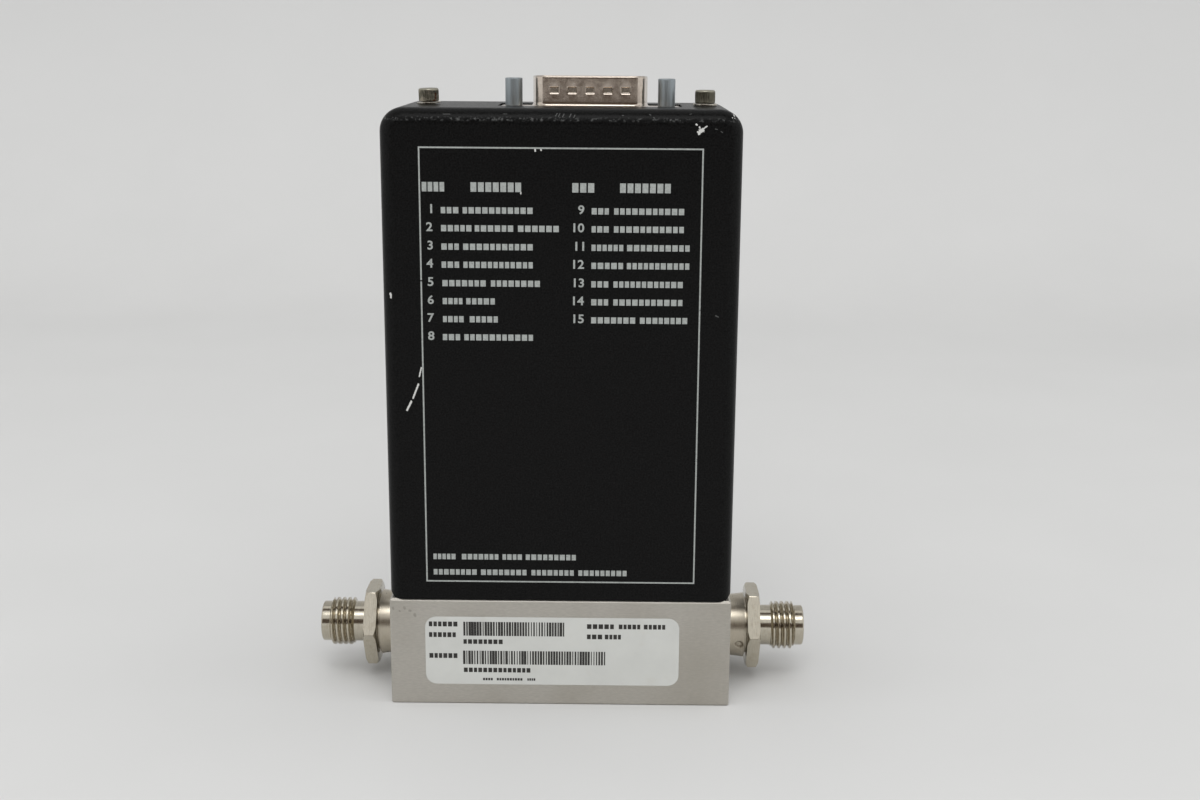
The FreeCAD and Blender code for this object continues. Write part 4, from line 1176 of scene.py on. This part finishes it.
def shell_outline():
    """Points and outward normals round the plug's D-shaped shell, close together along its long walls."""
    front_half = SHELL_HALF_WIDTH - 2 * SHELL_HALF_DEPTH * math.tan(SHELL_SLOPE)
    corners = [
        (-front_half, -SHELL_HALF_DEPTH),
        (front_half, -SHELL_HALF_DEPTH),
        (SHELL_HALF_WIDTH, SHELL_HALF_DEPTH),
        (-SHELL_HALF_WIDTH, SHELL_HALF_DEPTH),
    ]
    rounded = rounded_outline(corners, SHELL_CORNER_R, 14)
    points = []
    for index, here in enumerate(rounded):
        following = Vector(rounded[(index + 1) % len(rounded)])
        gap = following - Vector(here)
        pieces = max(1, round(gap.length / 0.1)) if gap.length > 6 else 1
        for step in range(pieces):
            points.append(Vector(here) + gap * step / pieces)
    normals = []
    for index, here in enumerate(points):
        run = (points[(index + 1) % len(points)] - points[index - 1]).normalized()
        normals.append(Vector((run.y, -run.x)))
    return points, normals


def nearest_dimple(x):
    """Distance along the wall to the middle of the nearest dimple."""
    return min(abs(x - (step - (DIMPLE_COUNT - 1) / 2) * DIMPLE_PITCH) for step in range(DIMPLE_COUNT))


def dent(x, z):
    """Share of the dimple depth at a place on a long wall: steep at its sides and top, sloped at its foot."""
    half_width, half_height = DIMPLE_HALF
    up = z - DIMPLE_HEIGHT
    shares = ((half_width - nearest_dimple(x)) / 0.2, (half_height - up) / 0.2, (half_height + up) / 0.38)
    return min(max(min(shares), 0.0), 1.0)


def dish(x, z):
    """Share of the shallow pull that the press leaves round a dimple."""
    return math.exp(-(nearest_dimple(x) / 1.1) ** 2 - ((z - DIMPLE_HEIGHT) / 1.5) ** 2)


def shell_mesh(dimple_depth):
    """Skirt of the front shell: one closed wall with a flared root, a rounded rim and pressed dimples."""
    points, normals = shell_outline()
    stations = [(FLANGE_LOW, 0.0), (FLANGE_HIGH, 0.0), (FLANGE_HIGH, -SHELL_ROOT_R)]
    for angle in evenly(0.0, 90.0, 6)[1:]:
        turn = math.radians(angle)
        stations.append((
            FLANGE_HIGH + SHELL_ROOT_R * (1 - math.cos(turn)),
            -SHELL_ROOT_R * (1 - math.sin(turn)),
        ))
    foot = DIMPLE_HEIGHT - DIMPLE_HALF[1]
    crown = DIMPLE_HEIGHT + DIMPLE_HALF[1]
    heights = evenly(FLANGE_HIGH + 1.0, foot - 0.15, 8)
    heights += evenly(foot - 0.05, crown + 0.05, 19)
    heights += evenly(crown + 0.15, SHELL_TOP - 0.5, 8)
    stations += [(height, 0.0) for height in heights]
    rim = SHELL_WALL / 2
    for angle in evenly(0.0, 180.0, 11):
        turn = math.radians(angle)
        stations.append((SHELL_TOP - rim + rim * math.sin(turn), rim - rim * math.cos(turn)))
    stations += [(height, SHELL_WALL) for height in reversed(heights)]
    stations.append((FLANGE_LOW, SHELL_WALL))
    vertices = []
    for height, inset in stations:
        for point, normal in zip(points, normals):
            depth = inset
            if abs(normal.y) > 0.999:
                depth += dimple_depth / MM * dent(point.x, height) + DISH_DEPTH * dish(point.x, height)
            place = point - normal * depth
            vertices.append(((place.x + PLUG_X) * MM, place.y * MM, height * MM))
    mesh = bpy.data.meshes.new("shell")
    mesh.from_pydata(vertices, [], band_faces(len(stations), len(points)))
    return mesh


def flange_mesh():
    """Flange plate round the skirt, with its two post holes."""
    corners = [
        (PLUG_X - FLANGE_HALF_LENGTH, -FLANGE_HALF_DEPTH),
        (PLUG_X + FLANGE_HALF_LENGTH, -FLANGE_HALF_DEPTH),
        (PLUG_X + FLANGE_HALF_LENGTH, FLANGE_HALF_DEPTH),
        (PLUG_X - FLANGE_HALF_LENGTH, FLANGE_HALF_DEPTH),
    ]
    skirt = [(point.x + PLUG_X, point.y) for point in shell_outline()[0]]
    holes = [circle(PLUG_X + side * POST_SPACING / 2, 0.0, SHANK_HOLE_R) for side in (-1, 1)]
    return plate([rounded_outline(corners, 1.2), skirt, *holes], FLANGE_LOW, FLANGE_HIGH, 0.07)


def tin_plate(colours):
    """Bright tin over drawn steel: soft mirror with a warm cast, dull in patches from handling."""
    tin = colours.plating
    look = surface("tin_plated_steel", tin, shade(tin, 0.86), (0.12, 0.2), 0.9, bump=0.002, Metallic=1.0)
    # Painted shade, with some grime: the dimples' floors darker
    overlay(
        look,
        linear("6b6458"),
        0.34,
        0.6,
        span_mask(look, 1, 0.0, SHELL_HALF_DEPTH - 0.05, SHELL_HALF_DEPTH - 0.25),
        span_mask(look, 0, PLUG_X, 9.7, 9.5),
        span_mask(look, 2, DIMPLE_HEIGHT + 0.1, 0.7, 0.5),
    )
    overlay(look, linear("a08c7c"), 0.3, 0.4, noise_mask(look, 2.4, 0.55, 0.75))
    return look["material"]


def post_rings():
    """Rings of one threaded post: shank, round body and tapped bore."""
    edge = 0.22
    lead_in = 0.3
    rings = rounds(
        (POST_BOTTOM, POST_SHANK_R - 0.2),
        (POST_BOTTOM + 0.2, POST_SHANK_R),
        (FLANGE_HIGH, POST_SHANK_R),
        (FLANGE_HIGH, POST_R - 0.1),
        (FLANGE_HIGH + 0.1, POST_R),
    )
    rings += arc(POST_TOP - edge, POST_R - edge, edge, 0.0, 90.0, 5)
    rings += rounds((POST_TOP, POST_BORE_R + lead_in))
    for height in evenly(POST_TOP - 0.02, POST_BORE_FLOOR + 0.2, 76):
        rings.append((height, max(POST_BORE_R, POST_BORE_R + lead_in - (POST_TOP - height)), "thread"))
    return rings + rounds((POST_BORE_FLOOR, POST_BORE_R))


def zinc_plate(colours):
    """Blue-passivated zinc over drawn steel bar: cool grey with soft streaks along the draw."""
    zinc = colours.post
    look = surface(
        "blue_zinc",
        shade(zinc, 1.12),
        shade(zinc, 0.88),
        (0.42, 0.52),
        0.45,
        stretch=(1.0, 1.0, 0.06),
        bump=0.003,
        Metallic=1.0,
    )
    overlay(look, linear("8b9397"), 0.32, 0.45, noise_mask(look, 0.7, 0.5, 0.7, stretch=(1.0, 1.0, 0.08)))
    return look["material"]


class METER_OT_plug(bpy.types.Operator):
    """Press the plug's front shell and turn its two threaded posts"""

    bl_idname = "meter.plug"
    bl_label = "Make Plug Shell and Posts"

    def execute(self, context):
        sizes = context.scene.meter_sizes
        colours = context.scene.meter_colours
        tin = tin_plate(colours)
        shell = joined([shell_mesh(sizes.dimple_depth), flange_mesh()])
        soften(shell, 24.0)
        finish_piece(new_object("plug_front_shell", shell), tin, "plated_shell", "connector_front_shell")
        carry_over("connector_rear_shell", tin)
        zinc = zinc_plate(colours)
        post = run_tree(turned(post_rings(), 96, closed=False), thread_tree(), {
            "Pitch": sizes.post_pitch,
            "Depth": sizes.post_depth,
            "Crest Radius": POST_BORE_R * MM,
            "Side": -1.0,
            "Material": zinc,
        })
        places = [(PLUG_X + side * POST_SPACING / 2, 0.0, 0.0) for side in (-1, 1)]
        posts = set_out([post], zinc, places, turns=POST_TURNS)
        soften(posts)
        finish_piece(new_object("plug_posts", posts), zinc, "post_dark", "jack_posts")
        carry_over("jack_post_nuts", zinc)
        return {"FINISHED"}


# Cover screws and washers

SCREW_XS = (-29.475, 30.875)
SCREW_SEAT = 133.3
SCREW_HEAD_R = 2.2
SCREW_HEAD_HEIGHT = 2.8
SCREW_SHANK_R = 1.42
SCREW_LENGTH = 6.35
SOCKET_FLATS = 2.38
SOCKET_DEPTH = 1.4
WASHER_R = 2.6
WASHER_HOLE_R = 1.62
WASHER_THICKNESS = 0.46
THIN_WASHER = 0.3
WASHER_EDGE = 0.1
# The inlet's screw and washer lean, as they aren't fully seated
SCREW_TURNS = ((0.0, -0.03, 0.5), (0.0, 0.0, 1.1))
WASHER_TURNS = ((0.0, -0.055, 0.0), (0.004, 0.004, 0.0))
RUST_SPOTS = (
    ((-27.9, -1.35, 134.0), (-27.9, -1.35, 134.9), 0.32),
    ((-27.7, -1.6, 133.6), (-28.3, -1.9, 133.5), 0.22),
)


def screw_rings():
    """Rings of a socket cap screw, its head's underside at height zero."""
    edge = 0.42
    top = SCREW_HEAD_HEIGHT
    socket_r = SOCKET_FLATS / math.sqrt(3)
    rings = rounds(
        (-SCREW_LENGTH, SCREW_SHANK_R - 0.3),
        (0.3 - SCREW_LENGTH, SCREW_SHANK_R),
        (-0.1, SCREW_SHANK_R),
        (0.0, SCREW_SHANK_R + 0.1),
        (0.0, SCREW_HEAD_R - 0.12),
        (0.1, SCREW_HEAD_R),
        (0.32, SCREW_HEAD_R),
    )
    rings += [(height, SCREW_HEAD_R, "knurl") for height in (0.45, top - 0.72)]
    rings += rounds((top - 0.55, SCREW_HEAD_R))
    rings += arc(top - edge, SCREW_HEAD_R - edge, edge, 0.0, 90.0, 5)
    rings += rounds((top, socket_r + 0.14))
    rings += [(height, socket_r, "socket") for height in (top - 0.12, top - SOCKET_DEPTH)]
    return rings + rounds((top - SOCKET_DEPTH - 0.3, 0.12))


def washer_rings():
    """Rings of a flat washer about its middle, its four edges rounded."""
    flat = WASHER_THICKNESS / 2 - WASHER_EDGE
    outer = WASHER_R - WASHER_EDGE
    inner = WASHER_HOLE_R + WASHER_EDGE
    corners = ((flat, outer), (flat, inner), (-flat, inner), (-flat, outer))
    rings = []
    for quarter, (height, radius) in enumerate(corners):
        rings += arc(height, radius, WASHER_EDGE, 90.0 * quarter, 90.0 * (quarter + 1), 4)
    return rings


def aged_yellow_zinc(colours):
    """Yellow-passivated zinc gone olive on an alloy steel screw, with rust starting at the foot of the head."""
    zinc = colours.screw
    look = surface(
        "aged_yellow_zinc",
        shade(zinc, 1.3),
        shade(zinc, 0.6),
        (0.3, 0.46),
        0.35,
        stretch=(1.0, 1.0, 0.3),
        bump=0.004,
        Metallic=1.0,
    )
    overlay(look, colours.rust, 0.7, 0.85, stroke_mask(look, RUST_SPOTS, 1.6, 0.4))
    inlet_screw = span_mask(look, 0, SCREW_XS[0], 10.0, 5.0)
    overlay(look, linear("a39c8c"), 0.4, 0.75, inlet_screw, noise_mask(look, 1.3, 0.45, 0.58))
    # Painted highlight, partly worn plating: the head's top edge paler
    overlay(look, linear("b9b6a6"), 0.34, 0.8, span_mask(look, 2, SCREW_SEAT + SCREW_HEAD_HEIGHT, 0.5, 0.2))
    return look["material"]


def washer_steel():
    """Rolled stainless washer: bright, with faint duller patches."""
    return surface(
        "stamped_stainless", linear("cfcac0"), linear("a8a297"), (0.25, 0.38), 0.3, bump=0.002, Metallic=1.0
    )["material"]


class METER_OT_fasteners(bpy.types.Operator):
    """Set out the knurled cover screws and their loose washers"""

    bl_idname = "meter.fasteners"
    bl_label = "Fit Cover Screws"

    def execute(self, context):
        sizes = context.scene.meter_sizes
        colours = context.scene.meter_colours
        flutes = sizes.knurl_count
        depth = sizes.knurl_depth / MM
        shapes = {
            "knurl": lambda height, radius, angle: radius - depth * abs(math.sin(angle * flutes / 2)) ** 1.5,
            "socket": hexagon_radius(SOCKET_FLATS),
        }
        zinc = aged_yellow_zinc(colours)
        screw = turned(screw_rings(), flutes * 6, shapes=shapes, closed=False)
        screws = set_out([screw], zinc, [(x, 0.0, SCREW_SEAT) for x in SCREW_XS], turns=SCREW_TURNS)
        soften(screws)
        finish_piece(new_object("cap_screws", screws), zinc, "screw_olive", "cover_screws")
        steel = washer_steel()
        middle = (COVER_TOP + SCREW_SEAT) / 2
        washers = set_out(
            [turned(washer_rings(), 96)],
            steel,
            [(x, 0.0, middle) for x in SCREW_XS],
            turns=WASHER_TURNS,
            sizes=[(1.0, 1.0, THIN_WASHER / WASHER_THICKNESS), (1.0, 1.0, 1.0)],
        )
        soften(washers)
        finish_piece(new_object("loose_washers", washers), steel, "zinc_screw", "cover_washers")
        return {"FINISHED"}


# What the cover hides

INNER_FINISHES = (
    # Nitrile rubber, moulded: dull black
    ("moulded_nitrile", ("inlet_oring", "outlet_oring", "sensor_seals"), "1f1f20", "151516", (0.5, 0.6), 0.6, 0.004, 0.0),
    # Milled and drilled stainless: dull grey inside the bore
    ("milled_stainless", ("flow_element", "inlet_screen", "sensor_block"), "b5b1a8", "98948b", (0.32, 0.45), 0.25, 0.003, 1.0),
    # Drawn stainless capillary: bright
    ("drawn_capillary", ("sensor_tube",), "c4c0b8", "aaa69e", (0.2, 0.3), 0.3, 0.001, 1.0),
    # Enamelled resistance wire, close wound: brown gloss
    ("enamelled_wire", ("upstream_coil", "downstream_coil"), "8a4a22", "6b3517", (0.25, 0.4), 0.12, 0.01, 0.0),
    # Bare tinned wire
    ("tinned_wire", ("sensor_leads",), "c9c7c2", "aeaca7", (0.25, 0.35), 0.3, 0.001, 1.0),
    # Drawn aluminium: soft satin
    ("drawn_aluminium", ("sensor_can",), "c8c9ca", "b0b1b2", (0.3, 0.42), 0.4, 0.003, 1.0),
    # Bright zinc on machine screws
    ("bright_zinc", ("sensor_screws", "bracket_screws", "board_screws"), "bfc3c6", "9da1a4", (0.25, 0.38), 0.3, 0.002, 1.0),
    # Chromated aluminium sheet: faint straw
    ("chromated_sheet", ("chassis_bracket",), "c9c4ae", "b4af99", (0.34, 0.46), 0.5, 0.003, 1.0),
    # Glass epoxy board under solder mask
    ("solder_mask", ("circuit_board",), "1f5a35", "174729", (0.3, 0.4), 0.8, 0.004, 0.0),
    # Moulded nylon: milky
    ("moulded_nylon", ("board_spacers",), "e3e0d4", "d4d1c4", (0.4, 0.5), 0.8, 0.004, 0.0),
    # Epoxy moulding compound: matt charcoal
    ("epoxy_package", ("logic_chips",), "2b2b2c", "212122", (0.5, 0.62), 0.2, 0.006, 0.0),
    # Heat-shrunk sleeve: blue gloss
    ("shrunk_sleeve", ("power_capacitors",), "24345e", "1b2748", (0.25, 0.35), 0.7, 0.003, 0.0),
    # Glazed ceramic chip resistors
    ("glazed_ceramic", ("chip_resistors",), "343230", "262422", (0.3, 0.4), 0.3, 0.002, 0.0),
    # Moulded blue thermoset
    ("blue_thermoset", ("zero_trimmer",), "2a5fa8", "214c88", (0.35, 0.45), 0.4, 0.004, 0.0),
    # Turned brass
    ("turned_brass", ("zero_screw",), "c9a557", "a88742", (0.25, 0.36), 0.2, 0.003, 1.0),
    # Glass-filled polyester moulding: black
    ("filled_polyester", ("connector_insulator",), "232324", "19191a", (0.4, 0.52), 0.3, 0.006, 0.0),
    # Gold flash over nickel
    ("gold_flash", ("connector_pins",), "d8b262", "bd9648", (0.16, 0.26), 0.3, 0.001, 1.0),
)


class METER_OT_inner_parts(bpy.types.Operator):
    """Finish the sensor, chassis, board and plug parts under the cover"""

    bl_idname = "meter.inner_parts"
    bl_label = "Finish Inner Parts"

    def execute(self, context):
        for name, nodes, light, dark, roughness, grain, bump, metallic in INNER_FINISHES:
            look = surface(name, linear(light), linear(dark), roughness, grain, bump=bump, Metallic=metallic)
            for node in nodes:
                carry_over(node, look["material"])
        return {"FINISHED"}


# Studio

FLOOR_FRONT = -1.6
FLOOR_HALF_WIDTH = 2.2
WALL_Y = 0.75
WALL_TOP = 1.9
WALL_BEND = 0.3
CARD_Y = -0.95
CARD_HEIGHT = 1.05


def sweep_mesh():
    """Floor that curves up into a backdrop."""
    profile = [(FLOOR_FRONT, 0.0), (WALL_Y - WALL_BEND, 0.0)]
    for step in range(1, 17):
        angle = math.pi / 2 * step / 16
        profile.append((WALL_Y - WALL_BEND + WALL_BEND * math.sin(angle), WALL_BEND * (1 - math.cos(angle))))
    profile.append((WALL_Y, WALL_TOP))
    vertices = [(side * FLOOR_HALF_WIDTH, y, z) for y, z in profile for side in (-1, 1)]
    faces = [(2 * i, 2 * i + 1, 2 * i + 3, 2 * i + 2) for i in range(len(profile) - 1)]
    mesh = bpy.data.meshes.new("sweep")
    mesh.from_pydata(vertices, [], faces)
    mesh.shade_smooth()
    return mesh


def card_mesh():
    """Upright card behind the camera and a narrow one overhead, which the metal shows as dark bands."""
    low, high = 0.08, 0.56
    upright = [(-0.9, CARD_Y, low), (0.9, CARD_Y, low), (0.9, CARD_Y, high), (-0.9, CARD_Y, high)]
    near, far = -0.21, 0.06
    overhead = [(-0.9, near, CARD_HEIGHT), (0.9, near, CARD_HEIGHT), (0.9, far, CARD_HEIGHT), (-0.9, far, CARD_HEIGHT)]
    mesh = bpy.data.meshes.new("cards")
    mesh.from_pydata(upright + overhead, [], [(0, 1, 2, 3), (4, 5, 6, 7)])
    return mesh


def add_lamp(name, place, target, width, height, power):
    data = bpy.data.lights.new(name, "AREA")
    data.shape = "RECTANGLE"
    data.size = width
    data.size_y = height
    data.energy = power
    lamp = new_object(name, data)
    lamp.location = place
    lamp.rotation_euler = (Vector(target) - Vector(place)).to_track_quat("-Z", "Y").to_euler()
    return lamp


def camera_matrix(studio):
    """World matrix of the camera from its place, yaw, pitch and roll."""
    pitch = studio.pitch
    yaw = studio.yaw
    right = Vector((math.cos(yaw), math.sin(yaw), 0.0))
    forward = Vector((-math.sin(yaw) * math.cos(pitch), math.cos(yaw) * math.cos(pitch), -math.sin(pitch)))
    up = right.cross(forward)
    rolled_right = right * math.cos(studio.roll) + up * math.sin(studio.roll)
    rolled_up = up * math.cos(studio.roll) - right * math.sin(studio.roll)
    turn = Matrix((rolled_right, rolled_up, -forward)).transposed().to_4x4()
    return Matrix.Translation(studio.eye) @ turn


class METER_OT_studio(bpy.types.Operator):
    """Set the pale floor and backdrop, the lamps and the camera"""

    bl_idname = "meter.studio"
    bl_label = "Set Up Studio"

    def execute(self, context):
        scene = context.scene
        studio = scene.meter_studio
        floor = surface("painted_board", studio.floor, shade(studio.floor, 0.98), (0.75, 0.85), 60.0, Metallic=0.0)
        overlay(floor, studio.backdrop, 0.8, 1.0, span_mask(floor, 2, 0.0, 0.0, 500.0))
        sweep = new_object("sweep", sweep_mesh())
        sweep.data.materials.append(floor["material"])
        world = bpy.data.worlds.new("room")
        world.use_nodes = True
        background = world.node_tree.nodes["Background"]
        background.inputs["Color"].default_value = (*studio.world, 1.0)
        background.inputs["Strength"].default_value = 1.0
        scene.world = world
        card = surface("brown_card", studio.card, shade(studio.card, 0.9), (0.8, 0.9), 50.0)
        screen = new_object("card", card_mesh())
        screen.data.materials.append(card["material"])
        screen.visible_camera = False
        screen.visible_diffuse = False
        screen.visible_shadow = False
        add_lamp("key_lamp", (0.0, -0.62, 1.09), (0.0, 0.0, 0.06), 0.5, 0.34, studio.key_power)
        top = add_lamp("top_lamp", (0.0, -0.1, 1.3), (0.0, -0.1, 0.0), 2.0, 0.9, studio.top_power)
        top.visible_glossy = False
        fill = add_lamp("fill_lamp", (0.0, -1.45, 0.9), (0.0, 0.0, 0.06), 1.6, 1.0, studio.fill_power)
        fill.visible_glossy = False
        camera = bpy.data.cameras.new("camera")
        camera.sensor_width = 36.0
        camera.lens = studio.focal_length
        camera.clip_start = 0.01
        eye = new_object("camera", camera)
        eye.matrix_world = camera_matrix(studio)
        scene.camera = eye
        scene.view_settings.view_transform = "Standard"
        return {"FINISHED"}


OPERATORS = (
    METER_OT_fittings,
    METER_OT_cover,
    METER_OT_cover_print,
    METER_OT_base,
    METER_OT_label,
    METER_OT_plug,
    METER_OT_fasteners,
    METER_OT_inner_parts,
    METER_OT_studio,
)


class METER_PT_panel(bpy.types.Panel):
    """Sidebar list of the meter's pieces and their settings"""

    bl_label = "Flow Meter"
    bl_idname = "METER_PT_panel"
    bl_space_type = "VIEW_3D"
    bl_region_type = "UI"
    bl_category = "Flow Meter"

    def draw(self, context):
        for operator in OPERATORS:
            self.layout.operator(operator.bl_idname)
        for group in (context.scene.meter_sizes, context.scene.meter_colours, context.scene.meter_studio):
            box = self.layout.box()
            for key in group.__annotations__:
                box.prop(group, key)


GROUPS = {"meter_sizes": MeterSizes, "meter_colours": MeterColours, "meter_studio": MeterStudio}


def register():
    for group in GROUPS.values():
        bpy.utils.register_class(group)
    for operator in OPERATORS:
        bpy.utils.register_class(operator)
    bpy.utils.register_class(METER_PT_panel)
    for key, group in GROUPS.items():
        setattr(bpy.types.Scene, key, PointerProperty(type=group))


def unregister():
    for key in GROUPS:
        delattr(bpy.types.Scene, key)
    bpy.utils.unregister_class(METER_PT_panel)
    for operator in reversed(OPERATORS):
        bpy.utils.unregister_class(operator)
    for group in GROUPS.values():
        bpy.utils.unregister_class(group)


def main():
    register()
    bpy.ops.meter.studio()
    bpy.ops.meter.fittings()
    bpy.ops.meter.cover()
    bpy.ops.meter.cover_print()
    bpy.ops.meter.base()
    bpy.ops.meter.label()
    bpy.ops.meter.plug()
    bpy.ops.meter.fasteners()
    bpy.ops.meter.inner_parts()


if __name__ == "__main__":
    main()
